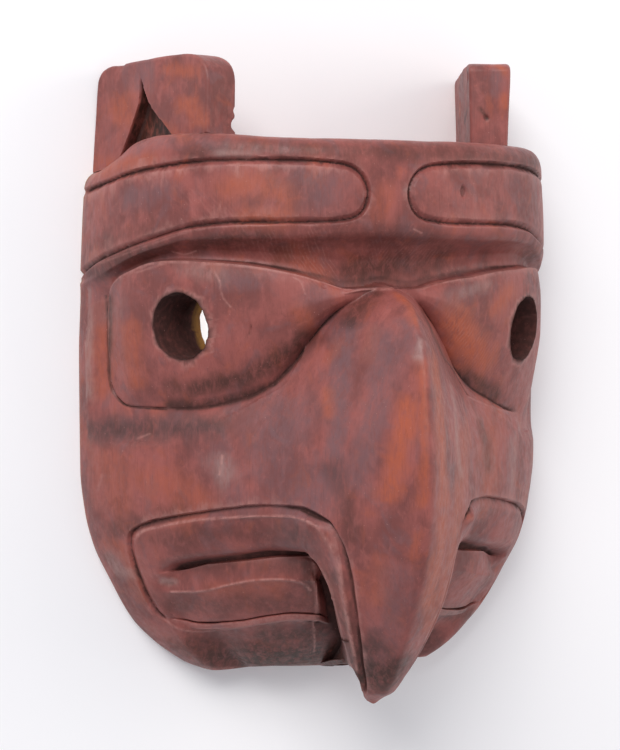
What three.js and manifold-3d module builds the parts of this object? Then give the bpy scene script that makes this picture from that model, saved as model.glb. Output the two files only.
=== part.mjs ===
// A carved wooden bird mask: one hollow face with a hooked beak, and two slab ears on top of it.
// Millimetres. The mask lies on its flat back: +X is the face's left-to-right as seen from in
// front, +Y runs from the chin to the ears, and +Z points out of the face.

import * as THREE from 'three';
import { mergeVertices } from 'three/addons/utils/BufferGeometryUtils.js';
import Module from 'manifold-3d';

// Driving dimensions

const LOWEST_POINT = -4;          // beak tip, measured from the chin's lower edge
const HIGHEST_POINT = 248.3;      // top of the ears
const BAND_TOP = 210;             // where the headband's front turns over into the top
const CROWN = 215;                // the flat top that the ears stand on
const RIM_WIDTH = 24;             // bare wood between the outline and the hollow, at the back
const FRONT_WALL = 30;            // wood in front of the hollow
const TOP_WALL = 17;
const CHIN_WALL = 12;
const PIECE_GAP = 0.3;            // between the face and each ear

const HOLE_RADIUS = 12.8;         // eye holes
const HOLE_PLACE = [73.3, 143.6, 56];
const HOLE_TURN = 58;             // degrees from the front towards the side

const GROOVE_WIDTH = 2.6;
const GROOVE_DEPTH = 2.2;
const MOUTH_SLOT_DEPTH = 9;

const EAR_LENGTH = 69;            // front to back
const EAR_THICKNESS = 15;
const EAR_FRONT = 62;             // how far the ears' outer front corners stand from the back
const EAR_SLIT_DEPTH = 6;

// Profiles: each pair is a height above the chin and the size there

const halfWidth = profile([[-6, 30], [0, 48], [6, 58.5], [14, 69], [23, 77.5], [40, 87], [54, 93.6],
  [67, 97], [85, 99], [135, 99.3], [182, 97.8], [225, 95.5]]);
const faceDepth = profile([[-6, 24], [5, 40], [18, 55], [28, 62], [40, 70], [54, 78], [72, 81], [89, 83],
  [125, 81], [140, 82], [165, 87], [182, 88.7], [225, 87]]);
const squareness = profile([[-6, 2], [5, 1.9], [18, 1.6], [40, 1.65], [54, 1.7], [110, 1.75], [125, 1.85],
  [140, 2], [182, 2.1], [225, 2.2]]);
const ridgeDepth = profile([[-4, 73], [2, 84], [17, 98.5], [35, 111], [51, 119.7], [66, 125.3], [81, 128],
  [95, 128.8], [106, 127.8], [117, 126], [128, 124], [142, 117], [152, 104], [159, 89.5], [166, 60]]);
const flankSlope = profile([[-4, 1], [8, 1.1], [20, 1.25], [40, 1.2], [62, 1.2], [90, 1.3], [105, 1.36],
  [115, 1.45], [122, 1.6], [135, 1.8], [160, 2]]);
const beakHalfWidth = profile([[-4, 4], [0, 6], [8, 9], [17, 12], [40, 18.2], [57, 22.4], [66, 25], [80, 30],
  [110, 40]]);
const beakSide = profile([[-4, 7], [8, 9], [20, 12], [38, 20], [55, 31]]);

// Lines across the face: each pair is degrees round from the middle and the height there

const bandEdge = profile([[0, 179], [20, 178], [47, 177.6], [60, 173.6], [76, 168.4], [90, 162]]);
const eyeTop = profile([[0, 159], [9, 158], [14, 160.3], [22, 163.8], [33, 166.8], [42, 168], [51, 168.2],
  [59, 165.2], [66, 159.4], [71, 153], [90, 150]]);
const eyeFoot = profile([[0, 154], [6, 154], [9, 151.5], [13, 145], [17, 136.6], [21, 128], [26, 121], [33, 116],
  [46, 112], [57, 111.6], [66, 113.5], [71, 119], [90, 122]]);
const socketFoot = profile([[0, 148], [8, 145], [13, 133], [21, 116], [30, 107], [40, 102], [55, 100],
  [78, 99.5], [90, 99]]);
const mouthTop = profile([[0, 60], [14, 62], [17.5, 69], [21, 73], [29, 75], [34, 74.5], [44, 71.7], [54, 68], [63, 64], [69, 60], [90, 56]]);
const slotTop = profile([[0, 57], [20, 56.8], [30, 56.2], [40, 53.8], [55, 50.2], [65, 47], [90, 44]]);
const slotFoot = profile([[0, 56], [20, 53.2], [30, 52.6], [46, 50], [62, 46.2], [90, 40]]);
const lipRidge = profile([[0, 45], [14, 44], [24, 45], [30, 45.2], [41, 42.6], [60, 38.2], [90, 34]]);
const lipFoot = profile([[0, 26], [14, 28], [22, 29.6], [38, 26.2], [55, 23.6], [90, 22]]);
const chinFoot = profile([[0, -4], [8, -3], [14, 0.5], [17.5, 9], [21, 4.5], [40, 3.5], [66, 2], [90, 4]]);

const HOLLOW_DEPTH = profile([[0, 9], [30, 9], [50, 7], [70, 4.5], [80, 2.4], [90, 0.6]]);

const COLUMNS = [0, 2.5, 5, 8, 11, 14, 17.5, 21, 25, 29, 34, 40, 46, 52, 58, 63, 67, 71, 74.5, 78, 82, 86, 90];
const SHOULDER = 14;              // column that follows the beak's shoulder beside the mouth
const WALL_FOOT = 17.5;           // column at the foot of the wall under that shoulder
const BEHIND_BEAK = 21;           // column where the mouth or the chin begins beside the beak
const MOUTH_END = 71;             // column at the outer corner of the mouth
const EYE_END = 71;
const SOCKET_END = 78;

const WOOD = { color: 0x8e5450, roughness: 0.55, metalness: 0 };

function profile(pairs) {
  // A smooth curve through the pairs that never overshoots them, flat beyond both ends.
  const slope = pairs.map((point, i) => {
    if (i === 0 || i === pairs.length - 1) return 0;
    const before = (point[1] - pairs[i - 1][1]) / (point[0] - pairs[i - 1][0]);
    const after = (pairs[i + 1][1] - point[1]) / (pairs[i + 1][0] - point[0]);
    return before * after <= 0 ? 0 : (2 * before * after) / (before + after);
  });
  return (position) => {
    if (position <= pairs[0][0]) return pairs[0][1];
    const i = pairs.findIndex((point) => point[0] >= position);
    if (i < 0) return pairs[pairs.length - 1][1];
    const [x0, y0] = pairs[i - 1];
    const [x1, y1] = pairs[i];
    const width = x1 - x0;
    const t = (position - x0) / width;
    return y0 * (1 + 2 * t) * (1 - t) ** 2 + slope[i - 1] * width * t * (1 - t) ** 2
      + y1 * t * t * (3 - 2 * t) + slope[i] * width * t * t * (t - 1);
  };
}

function smoothMax(a, b, radius) {
  const h = Math.max(radius - Math.abs(a - b), 0) / radius;
  return Math.max(a, b) + h * h * radius * 0.25;
}

function fade(value, from, to) {
  return THREE.MathUtils.smoothstep(value, from, to);
}

// The face

function sectionPoint(angle, y, inset = 0) {
  // A point on the rounded face without its beak, moved in along the surface by the inset.
  const a = halfWidth(y) - inset * 0.98;
  const b = faceDepth(y) - inset;
  const n = squareness(y);
  const turn = THREE.MathUtils.degToRad(angle);
  const reach = (Math.abs(Math.sin(turn)) ** n + Math.abs(Math.cos(turn)) ** n) ** (-1 / n);
  return [a * Math.sin(turn) * reach, b * Math.max(Math.cos(turn), 0) * reach];
}

function columnAngle(column, y) {
  // Beside the mouth the columns near the beak close up, so that two of them follow its wall.
  const size = Math.abs(column);
  const beak = beakHalfWidth(y);
  const hold = 1 - fade(y, 68, 84);
  const shoulder = angleAt(beak, y);
  const behind = angleAt(beak + THREE.MathUtils.lerp(-4, 1.5, fade(y, 20, 40)), y);
  let moved = size;
  if (size <= SHOULDER) moved = (shoulder * size) / SHOULDER;
  else if (size <= WALL_FOOT) moved = angleAt(beak + 0.6, y);
  else if (size <= 46) moved = behind + ((46 - behind) * (size - BEHIND_BEAK)) / (46 - BEHIND_BEAK);
  return Math.sign(column) * THREE.MathUtils.lerp(size, moved, hold);
}

function angleAt(x, y) {
  let low = 0;
  let high = 60;
  for (let i = 0; i < 24; i += 1) {
    const middle = (low + high) / 2;
    if (sectionPoint(middle, y)[0] < x) low = middle;
    else high = middle;
  }
  return low;
}

function beakFront(x, y) {
  return ridgeDepth(y) - flankSlope(y) * (Math.hypot(x, 4) - 4);
}

function facePoint(column, y, inset, onBeak) {
  const angle = columnAngle(column, y);
  const [x, z] = sectionPoint(angle, y, inset);
  if (!onBeak) return new THREE.Vector3(x, y, z);
  const [plainX] = sectionPoint(angle, y);
  const blend = THREE.MathUtils.lerp(16, 1.5, fade(y, 96, 124));
  const size = Math.abs(column);
  const side = 1 - fade(size, 60, 80);
  let front = THREE.MathUtils.lerp(z, smoothMax(z, beakFront(plainX, y), blend), side);
  const besideMouth = y < mouthTop(size) - 0.1;
  if (besideMouth && size > WALL_FOOT) front = z;
  if (besideMouth && size === WALL_FOOT) front = beakFront(plainX, y) - beakSide(y);
  return new THREE.Vector3(front > z ? THREE.MathUtils.lerp(x, plainX, 0.5) : x, y, front);
}

function faceRows() {
  // From the crown down to the chin: where each row of the outer surface lies and how far it is cut in.
  const rows = [];
  const add = (height, inset = () => 0, onBeak = true, scale = 1) => rows.push({ height, inset, onBeak, scale });
  const between = (upper, lower, t) => (angle) => THREE.MathUtils.lerp(upper(angle), lower(angle), t);
  const socketDepth = (angle) => THREE.MathUtils.lerp(4.4, 8, fade(angle, 40, 60)) * (1 - fade(angle, 71, 80));
  const besideNose = (angle) => fade(angle, 6, 13);

  for (const [height, scale] of [[CROWN, 0.3], [CROWN, 0.62], [CROWN, 0.86]]) {
    add(() => height, () => 0, false, scale);
  }
  add(() => CROWN - 0.7, () => 4.5, false);
  add(() => BAND_TOP + 2, () => 1.3, false);
  add(() => BAND_TOP - 2, () => 0, false);
  add(between(() => BAND_TOP, bandEdge, 0.5), () => 0, false);
  add(bandEdge, () => 0.4, false);
  add((angle) => bandEdge(angle) - 1.2, (angle) => HOLLOW_DEPTH(angle) * 0.7, false);
  add(between(bandEdge, eyeTop, 0.5), (angle) => HOLLOW_DEPTH(angle) * 1.05);
  add((angle) => eyeTop(angle) + 1, (angle) => HOLLOW_DEPTH(angle) * (angle > EYE_END ? 1 : 0.75));

  const eyeRows = [0, 0.1, 0.25, 0.42, 0.6, 0.78, 0.91, 1];
  const eyeRise = [2.6, 1.2, 0, -0.8, -0.6, 0.6, 2.4, 4.4];
  eyeRows.forEach((t, i) => add(between(eyeTop, eyeFoot, t), (angle) => {
    const domed = eyeRise[i] * besideNose(angle);
    const corner = fade(angle, 56, EYE_END) * 3.6;
    const foot = t > 0.9 ? (socketDepth(angle) - 4.4) * (t - 0.9) * 10 : 0;
    if (angle <= EYE_END) return Math.max(domed, 0) + Math.min(domed, 0) * (1 - corner / 3.6) + corner * 0.9 + foot;
    return 4 * (1 - fade(angle, EYE_END, SOCKET_END + 1));
  }));
  add(between(eyeFoot, socketFoot, 0.5), (angle) => socketDepth(angle) * 0.75 * besideNose(angle));
  add(socketFoot);
  for (const t of [0.22, 0.48, 0.74]) add(between(socketFoot, mouthTop, t));
  add(mouthTop);

  const inMouth = (angle) => fade(angle, 18, 20) * (1 - fade(angle, MOUTH_END - 1, MOUTH_END + 1));
  const inSlot = (angle) => fade(angle, 18, 20) * (1 - fade(angle, 60, 66));
  add((angle) => mouthTop(angle) - 2, (angle) => 2.6 * inMouth(angle));
  add(between(mouthTop, slotTop, 0.55), (angle) => 1.8 * inMouth(angle));
  add(slotTop, (angle) => 1.4 * inMouth(angle));
  add((angle) => slotTop(angle) - 0.5, (angle) => 1.4 * inMouth(angle) + (MOUTH_SLOT_DEPTH - 1.4) * inSlot(angle));
  add((angle) => slotFoot(angle) + 0.5, (angle) => 2 * inMouth(angle) + (MOUTH_SLOT_DEPTH - 2) * inSlot(angle));
  add(slotFoot, (angle) => 4.4 * inMouth(angle));
  add(lipRidge, (angle) => 1.2 * inMouth(angle));
  add(between(lipRidge, lipFoot, 0.55), (angle) => 1.6 * inMouth(angle));
  add(lipFoot, (angle) => 2.8 * inMouth(angle));
  const underLip = (angle) => inMouth(angle) * (1 - fade(angle, 46, 64));
  add(between(lipFoot, chinFoot, 0.3), (angle) => 3 * inMouth(angle) + 4 * underLip(angle));
  add(between(lipFoot, chinFoot, 0.7), (angle) => 2 * inMouth(angle) + 9 * underLip(angle));
  add(chinFoot, (angle) => 11 * underLip(angle));
  return rows;
}

function outerSurface(grow = 0) {
  // Closed solid of the whole outside with a flat back at z = 0; grow swells it evenly.
  const rows = faceRows();
  const columns = [...COLUMNS.slice(1).map((angle) => -angle).reverse(), ...COLUMNS];
  const grid = rows.map(({ height, inset, onBeak, scale }) => columns.map((column) => {
    const y = height(Math.abs(column));
    const point = facePoint(column, y, inset(Math.abs(column)) - grow, onBeak);
    point.x *= scale;
    point.z *= scale;
    if (y > BAND_TOP) point.y += grow;
    return point;
  }));
  grid.push(...undersideRows(columns, grid[grid.length - 1]));
  return closedGrid(grid, new THREE.Vector3(0, CROWN + grow, 0), new THREE.Vector3(0, 0.2, 0));
}

function undersideRows(columns, edge) {
  // Under the chin and behind the beak's free tip, back towards the rim.
  const chin = [{ spread: 0.9, height: 3.2, reach: 0.84 }, { spread: 0.62, height: 1.6, reach: 0.55 },
    { spread: 0.34, height: 0.6, reach: 0.25 }];
  const beak = [{ spread: 0.6, height: 13, reach: 0.82 }, { spread: 0.45, height: 8, reach: 0.5 },
    { spread: 0.35, height: 2, reach: 0.2 }];
  return chin.map((under, step) => edge.map((point, i) => {
    const { spread, height, reach } = Math.abs(columns[i]) <= WALL_FOOT ? beak[step] : under;
    return new THREE.Vector3(point.x * spread, height, point.z * reach);
  }));
}

function closedGrid(grid, top, bottom) {
  // Triangles over a grid of rows, its two poles and the flat strip that joins its sides at the back.
  const width = grid[0].length;
  const positions = [top, ...grid.flat(), bottom].flatMap((point) => [point.x, point.y, point.z]);
  const at = (row, column) => 1 + row * width + column;
  const last = 1 + grid.length * width;
  const faces = [];
  for (let row = 0; row + 1 < grid.length; row += 1) {
    for (let column = 0; column + 1 < width; column += 1) {
      const corners = [at(row, column), at(row + 1, column), at(row + 1, column + 1), at(row, column + 1)];
      // Each half of the face is a mirror image of the other, down to how its squares are split.
      if (column < (width - 1) / 2) {
        faces.push(corners[0], corners[1], corners[2], corners[0], corners[2], corners[3]);
      } else {
        faces.push(corners[0], corners[1], corners[3], corners[1], corners[2], corners[3]);
      }
    }
    faces.push(at(row, 0), at(row, width - 1), at(row + 1, width - 1));
    faces.push(at(row, 0), at(row + 1, width - 1), at(row + 1, 0));
  }
  for (let column = 0; column + 1 < width; column += 1) {
    faces.push(0, at(0, column), at(0, column + 1));
    faces.push(last, at(grid.length - 1, column + 1), at(grid.length - 1, column));
  }
  faces.push(0, at(0, width - 1), at(0, 0));
  faces.push(last, at(grid.length - 1, 0), at(grid.length - 1, width - 1));
  const geometry = new THREE.BufferGeometry();
  geometry.setAttribute('position', new THREE.Float32BufferAttribute(positions, 3));
  geometry.setIndex(faces);
  return geometry;
}

function hollow() {
  // The carved-out inside, run past the back so that it cuts clean through the rim plane.
  const bottom = CHIN_WALL;
  const top = CROWN - TOP_WALL;
  const past = -6;
  const angles = [];
  for (let angle = -90; angle <= 90; angle += 15) angles.push(angle);
  const levels = [[0, 0.5], [0.04, 0.82], [0.14, 0.97], [0.32, 1], [0.5, 1], [0.68, 1], [0.86, 0.99], [0.96, 0.88], [1, 0.6]];
  const grid = levels.slice().reverse().map(([t, size]) => {
    const y = THREE.MathUtils.lerp(bottom, top, t);
    const a = (halfWidth(y) - RIM_WIDTH) * size;
    const b = (faceDepth(y) - FRONT_WALL) * size;
    const row = angles.map((angle) => {
      const turn = THREE.MathUtils.degToRad(angle);
      const reach = (Math.abs(Math.sin(turn)) ** 2.3 + Math.abs(Math.cos(turn)) ** 2.3) ** (-1 / 2.3);
      return new THREE.Vector3(a * Math.sin(turn) * reach, y, b * Math.max(Math.cos(turn), 0) * reach);
    });
    return [new THREE.Vector3(-a, y, past), ...row, new THREE.Vector3(a, y, past)];
  });
  return closedGrid(grid, new THREE.Vector3(0, top, past / 2), new THREE.Vector3(0, bottom, past / 2));
}

// Cuts

function eyeHole(side) {
  const hole = new THREE.CylinderGeometry(HOLE_RADIUS, HOLE_RADIUS, 90, 28);
  hole.rotateX(Math.PI / 2);
  hole.rotateY(THREE.MathUtils.degToRad(side * HOLE_TURN));
  hole.translate(side * HOLE_PLACE[0], HOLE_PLACE[1], HOLE_PLACE[2]);
  return hole;
}

function groove(side, path, steps) {
  // A V-shaped cut along a line given as degrees round and height.
  const line = new THREE.CatmullRomCurve3(path.map(([angle, y]) => new THREE.Vector3(angle, y, 0)), false, 'centripetal');
  const onFace = (angle, y) => {
    const spot = facePoint(Math.min(angle, 90), y, 0, false);
    spot.z -= Math.max(angle - 90, 0) * 1.5;
    return spot;
  };
  const rings = line.getPoints(steps).map((spot) => {
    const here = onFace(spot.x, spot.y);
    const along = onFace(spot.x + 0.2, spot.y).sub(onFace(spot.x - 0.2, spot.y));
    const up = onFace(spot.x, spot.y + 0.3).sub(onFace(spot.x, spot.y - 0.3));
    return { here, out: along.cross(up).normalize() };
  });
  const positions = [];
  rings.forEach(({ here, out }, i) => {
    const before = rings[Math.max(i - 1, 0)].here;
    const after = rings[Math.min(i + 1, rings.length - 1)].here;
    const across = after.clone().sub(before).cross(out).normalize();
    const reach = GROOVE_WIDTH * (0.5 + 0.5 * (1.5 / GROOVE_DEPTH));
    for (const [lift, shift] of [[-GROOVE_DEPTH, 0], [1.5, reach], [1.5, -reach]]) {
      const corner = here.clone().addScaledVector(out, lift).addScaledVector(across, shift);
      positions.push(side * corner.x, corner.y, corner.z);
    }
  });
  const faces = [];
  for (let i = 0; i + 1 < rings.length; i += 1) {
    for (let k = 0; k < 3; k += 1) {
      const a = 3 * i + k;
      const b = 3 * i + ((k + 1) % 3);
      faces.push(a, b, b + 3, a, b + 3, a + 3);
    }
  }
  const end = 3 * (rings.length - 1);
  faces.push(0, 2, 1, end, end + 1, end + 2);
  const geometry = new THREE.BufferGeometry();
  geometry.setAttribute('position', new THREE.Float32BufferAttribute(positions, 3));
  geometry.setIndex(side > 0 ? faces : flipped(faces));
  return geometry;
}

function flipped(faces) {
  const turned = [];
  for (let i = 0; i < faces.length; i += 3) turned.push(faces[i], faces[i + 2], faces[i + 1]);
  return turned;
}

const BAND_PANEL = [[93, 196.3], [75, 199.6], [64, 202.8], [53, 204.9], [42, 206.3], [28, 206.6], [16, 206],
  [9, 204.3], [5.6, 199], [5.2, 191], [7.6, 185.4], [13, 183.5], [24, 183.1], [36, 183], [46, 181.8],
  [57, 178.4], [71, 172.3], [93, 163.4]];

const MOUTH_OUTLINE = [[71.5, 25], [73, 34], [73, 42], [71.5, 52], [69, 59.5], [63, 64], [54, 68], [44, 71.7],
  [34, 74], [25, 74.6], [19.5, 72.5]];

// The ears

function earSlab(frontRounding) {
  // Profile in the slab's own plane: x runs back from the front edge, y is the height.
  const outline = new THREE.Shape();
  outline.moveTo(0, 198);
  outline.lineTo(0, HIGHEST_POINT - frontRounding - 1.5);
  outline.quadraticCurveTo(0.5, HIGHEST_POINT - 0.2, frontRounding + 6, HIGHEST_POINT);
  outline.lineTo(24, HIGHEST_POINT);
  outline.lineTo(60, 244.8);
  outline.quadraticCurveTo(65, 244, 65.6, 238.5);
  outline.lineTo(EAR_LENGTH, 206);
  outline.lineTo(EAR_LENGTH, 198);
  outline.closePath();
  return new THREE.ExtrudeGeometry(outline, { depth: EAR_THICKNESS, bevelEnabled: false, curveSegments: 5 });
}

function earSlit() {
  const outline = new THREE.Shape();
  outline.moveTo(39.4, 239.5);
  outline.quadraticCurveTo(37.8, 225, 25, 217);
  outline.lineTo(22, 205);
  outline.lineTo(50, 205);
  outline.quadraticCurveTo(40.5, 223, 39.4, 239.5);
  return new THREE.ExtrudeGeometry(outline, { depth: EAR_SLIT_DEPTH + 3, bevelEnabled: false, curveSegments: 5 })
    .translate(0, 0, -3);
}

function onEarPlace(geometry, side, outward, turn) {
  // From the slab's own plane to its place: its outer face looks sideways and a little forward.
  const back = THREE.MathUtils.degToRad(turn);
  const matrix = new THREE.Matrix4().makeBasis(
    new THREE.Vector3(side * Math.sin(back), 0, -Math.cos(back)),
    new THREE.Vector3(0, 1, 0),
    new THREE.Vector3(-side * Math.cos(back), 0, -Math.sin(back)),
  );
  matrix.setPosition(side * outward, 0, EAR_FRONT);
  geometry.applyMatrix4(matrix);
  return geometry;
}

// Solids

const wasm = await Module();
wasm.setup();

function solid(geometry) {
  const bare = geometry.clone();
  bare.deleteAttribute('normal');
  bare.deleteAttribute('uv');
  const merged = mergeVertices(bare, 1e-4);
  const faces = Uint32Array.from(merged.index.array);
  if (signedVolume(merged) < 0) {
    for (let i = 0; i < faces.length; i += 3) [faces[i + 1], faces[i + 2]] = [faces[i + 2], faces[i + 1]];
  }
  return new wasm.Manifold(new wasm.Mesh({
    numProp: 3,
    vertProperties: Float32Array.from(merged.attributes.position.array),
    triVerts: faces,
  }));
}

function signedVolume(geometry) {
  const place = geometry.attributes.position;
  const [a, b, c] = [new THREE.Vector3(), new THREE.Vector3(), new THREE.Vector3()];
  let volume = 0;
  for (let i = 0; i < geometry.index.count; i += 3) {
    a.fromBufferAttribute(place, geometry.index.getX(i));
    b.fromBufferAttribute(place, geometry.index.getX(i + 1));
    c.fromBufferAttribute(place, geometry.index.getX(i + 2));
    volume += a.dot(b.cross(c)) / 6;
  }
  return volume;
}

function toMesh(name, body, material) {
  const { vertProperties, triVerts } = body.getMesh();
  const geometry = new THREE.BufferGeometry();
  geometry.setAttribute('position', new THREE.BufferAttribute(vertProperties, 3));
  geometry.setIndex(new THREE.BufferAttribute(triVerts, 1));
  geometry.computeVertexNormals();
  const mesh = new THREE.Mesh(geometry, new THREE.MeshStandardMaterial(material));
  mesh.name = name;
  return mesh;
}

function makeFace() {
  let face = solid(outerSurface()).subtract(solid(hollow()));
  for (const side of [-1, 1]) {
    face = face.subtract(solid(eyeHole(side)));
    face = face.subtract(solid(groove(side, BAND_PANEL, 44)));
    face = face.subtract(solid(groove(side, MOUTH_OUTLINE, 26)));
  }
  return face;
}

function makeEar(side, outward, turn, frontRounding) {
  const slab = solid(onEarPlace(earSlab(frontRounding), side, outward, turn));
  const slit = solid(onEarPlace(earSlit(), side, outward, turn));
  // Its rear end is sawn off flush with the mask's flat back.
  const behind = new THREE.BoxGeometry(300, 400, 60).translate(0, HIGHEST_POINT / 2, -30);
  return slab.subtract(slit).subtract(solid(outerSurface(PIECE_GAP))).subtract(solid(behind));
}

const mask = new THREE.Group();
mask.position.y = -(LOWEST_POINT + HIGHEST_POINT) / 2;
mask.add(toMesh('mask_face', makeFace(), WOOD));
mask.add(toMesh('left_ear', makeEar(-1, 64, 25.4, 9), WOOD));
mask.add(toMesh('right_ear', makeEar(1, 62, 18.5, 2), WOOD));

export default mask;
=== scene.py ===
"""A carved wooden bird mask, stained red-brown, lying face up on a pale floor.

The face is a dense grid of points that follows the carver's lines: rows run along the headband, the
brow, the eyes and the mouth, columns run from the crown to the chin and close up beside the beak.
Grooves, dents and tool marks move the points in or out, then the eye holes and the hollow are cut.
All shaping is done in millimetres above the chin's lower edge, and turned to metres at the end.
"""

import math

import bmesh
import bpy
import numpy as np
from mathutils import Matrix, Vector


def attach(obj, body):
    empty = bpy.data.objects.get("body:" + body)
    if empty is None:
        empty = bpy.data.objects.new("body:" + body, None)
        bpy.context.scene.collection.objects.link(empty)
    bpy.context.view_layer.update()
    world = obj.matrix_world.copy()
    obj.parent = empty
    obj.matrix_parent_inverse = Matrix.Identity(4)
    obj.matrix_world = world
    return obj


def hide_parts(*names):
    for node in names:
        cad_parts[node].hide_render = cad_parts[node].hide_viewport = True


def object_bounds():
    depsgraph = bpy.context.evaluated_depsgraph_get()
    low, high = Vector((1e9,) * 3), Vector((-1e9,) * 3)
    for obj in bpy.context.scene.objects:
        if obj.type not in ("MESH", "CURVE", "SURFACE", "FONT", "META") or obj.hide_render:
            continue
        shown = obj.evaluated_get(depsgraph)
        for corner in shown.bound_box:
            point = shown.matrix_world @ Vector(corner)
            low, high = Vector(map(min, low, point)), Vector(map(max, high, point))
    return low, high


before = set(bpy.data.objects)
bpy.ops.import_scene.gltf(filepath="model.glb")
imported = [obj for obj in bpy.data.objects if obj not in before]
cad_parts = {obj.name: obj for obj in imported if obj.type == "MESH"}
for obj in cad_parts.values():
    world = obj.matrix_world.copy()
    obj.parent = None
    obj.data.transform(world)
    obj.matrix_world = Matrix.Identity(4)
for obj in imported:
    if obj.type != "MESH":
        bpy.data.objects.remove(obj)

bl_info = {
    "name": "Carved Bird Mask",
    "version": (1, 0, 0),
    "blender": (4, 5, 0),
    "location": "3D View > Sidebar > Bird Mask",
    "description": "Makes a carved and stained bird mask with its two slab ears",
    "category": "Add Mesh",
}

CAD_LOW, CAD_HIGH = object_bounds()
BODY = "root"
MM = 0.001

# Heights, in millimetres above the chin's lower edge

LOWEST_POINT = -4.0
HIGHEST_POINT = 248.3
BAND_TOP = 210.0
CROWN = 215.0
CHIN_IN_FRAME = CAD_LOW.y / MM - LOWEST_POINT    # the chin's lower edge, along the frame's Y

# Columns, in degrees round from the middle of the face

SHOULDER = 14.0       # follows the beak's shoulder beside the mouth
LIP_EDGE = 15.2       # follows the front edge of the lip that runs down the beak's side
WALL_FOOT = 17.5      # follows the back edge of the beak's side
BEHIND_BEAK = 21.0    # where the mouth and the chin come out from behind the beak
EVEN_FROM = 46.0      # the columns beyond are evenly spaced
MOUTH_END = 71.0
EYE_END = 75.0
SOCKET_END = 83.0

# Other sizes, in millimetres

HOLLOW_FOOT, HOLLOW_TOP = 12, 198
HOLLOW_SQUARENESS = 2.3       # 2 would be an ellipse, and more is squarer
EAR_FRONT = 62.0      # how far the ears' outer front corners stand from the flat back
EAR_LENGTH = 69.0
EAR_EDGE = 1.1        # how round the ears' long edges are
PIECE_GAP = 0.3
BEAK_FILLET = 16      # how softly the beak runs into the face
LIP_EDGE_OUT, LIP_EDGE_BACK = 1.1, 1.3      # how the lip's edge lies from the beak's shoulder
IN_FRONT = 8          # marks on the outside begin that far from the flat back

# How the meshes are made

FINE_GRID = (0.36, 0.42)      # degrees from column to column, then millimetres from row to row
COARSE_GRID = (0.8, 0.9)
FACE_TRIANGLES = 190_000
EAR_GRID = 0.55       # the size of the ears' faces in millimetres
SLIVER = 0.001        # edges shorter than this, in millimetres, go
CORNER_ANGLE = 48     # degrees from which an edge is shaded as a corner
HOLLOW_PAST_BACK = 6.0        # how many millimetres a cutter runs on behind the flat back
CROWN_PAST_BACK = 5.0


# Small helpers

def shared_slope(rise):
    """The slope where two stretches meet: between theirs, and level at a peak or a dip."""
    both = rise[:-1] * rise[1:]
    return np.where(both > 0, 2 * both / np.where(both > 0, rise[:-1] + rise[1:], 1), 0)


def bend(low, high, start, end, width, t):
    """The value at the share t of a curve from low to high, with the slopes at start and end."""
    leaving = low * (1 + 2 * t) + start * width * t
    arriving = high * (3 - 2 * t) - end * width * (1 - t)
    return leaving * (1 - t) ** 2 + arriving * t ** 2


def profile(pairs):
    """A smooth curve through the pairs that never overshoots them, flat beyond both ends."""
    place, size = np.array(pairs, float).T
    width = np.diff(place)
    slope = np.zeros(len(place))
    slope[1:-1] = shared_slope(np.diff(size) / width)

    def value(position):
        position = np.clip(position, place[0], place[-1])
        i = np.clip(np.searchsorted(place, position) - 1, 0, len(place) - 2)
        share = (position - place[i]) / width[i]
        return bend(size[i], size[i + 1], slope[i], slope[i + 1], width[i], share)

    return value


def lerp(a, b, t):
    """The value the share t of the way from a to b."""
    return a + (b - a) * t


def fade(value, start, end):
    """Runs smoothly from 0 at start to 1 at end."""
    t = np.clip((value - start) / (end - start), 0, 1)
    return t * t * (3 - 2 * t)


def smooth_max(a, b, radius):
    """The larger of a and b, with a fillet of about that radius where they meet."""
    h = np.maximum(radius - np.abs(a - b), 0) / radius
    return np.maximum(a, b) + h * h * radius * 0.25


def unit(vectors):
    """The vectors at length 1."""
    return vectors / np.maximum(np.linalg.norm(vectors, axis=-1, keepdims=True), 1e-9)


def smooth_noise(points, grain, seed):
    """Soft random bumps from -1 to 1, of the grain's size along X, Y and Z in millimetres."""
    cell = np.asarray(points, float) / np.asarray(grain, float)
    low = np.floor(cell.reshape(-1, 3).min(0)).astype(int)
    span = np.floor(cell.reshape(-1, 3).max(0)).astype(int) - low + 2
    lattice = np.random.default_rng(seed).uniform(-1, 1, tuple(span))
    base = np.floor(cell).astype(int)
    t = fade(cell - base, 0, 1)
    i, j, k = np.moveaxis(base - low, -1, 0)
    total = np.zeros(cell.shape[:-1])
    for corner in np.ndindex(2, 2, 2):
        weight = np.prod(np.where(np.array(corner, bool), t, 1 - t), axis=-1)
        total += weight * lattice[i + corner[0], j + corner[1], k + corner[2]]
    return total


def distance_to_line(points, line):
    """How far each point lies from a line of straight stretches, and how far along it, 0 to 1."""
    nearest = np.full(len(points), 1e9)
    along = np.zeros(len(points))
    last = len(line) - 1
    for i in range(last):
        start, step = line[i], line[i + 1] - line[i]
        t = np.clip((points - start) @ step / max(step @ step, 1e-9), 0, 1)
        gap = np.linalg.norm(points - start - t[:, None] * step, axis=1)
        closer = gap < nearest
        nearest[closer] = gap[closer]
        along[closer] = (i + t[closer]) / last
    return nearest, along


def curve_through(spots, steps):
    """Evenly spaced points on a smooth curve through the given spots."""
    spots = np.array(spots, float)
    gaps = np.linalg.norm(np.diff(spots, axis=0), axis=1)
    reach = np.concatenate([[0], np.cumsum(np.sqrt(gaps))])
    at = np.linspace(0, reach[-1], steps)
    slope = np.gradient(spots, reach, axis=0)
    i = np.clip(np.searchsorted(reach, at, side="right") - 1, 0, len(spots) - 2)
    width = (reach[i + 1] - reach[i])[:, None]
    t = (at - reach[i])[:, None] / width
    return bend(spots[i], spots[i + 1], slope[i], slope[i + 1], width, t)


# The face's form: each pair is a height above the chin and the size there

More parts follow.
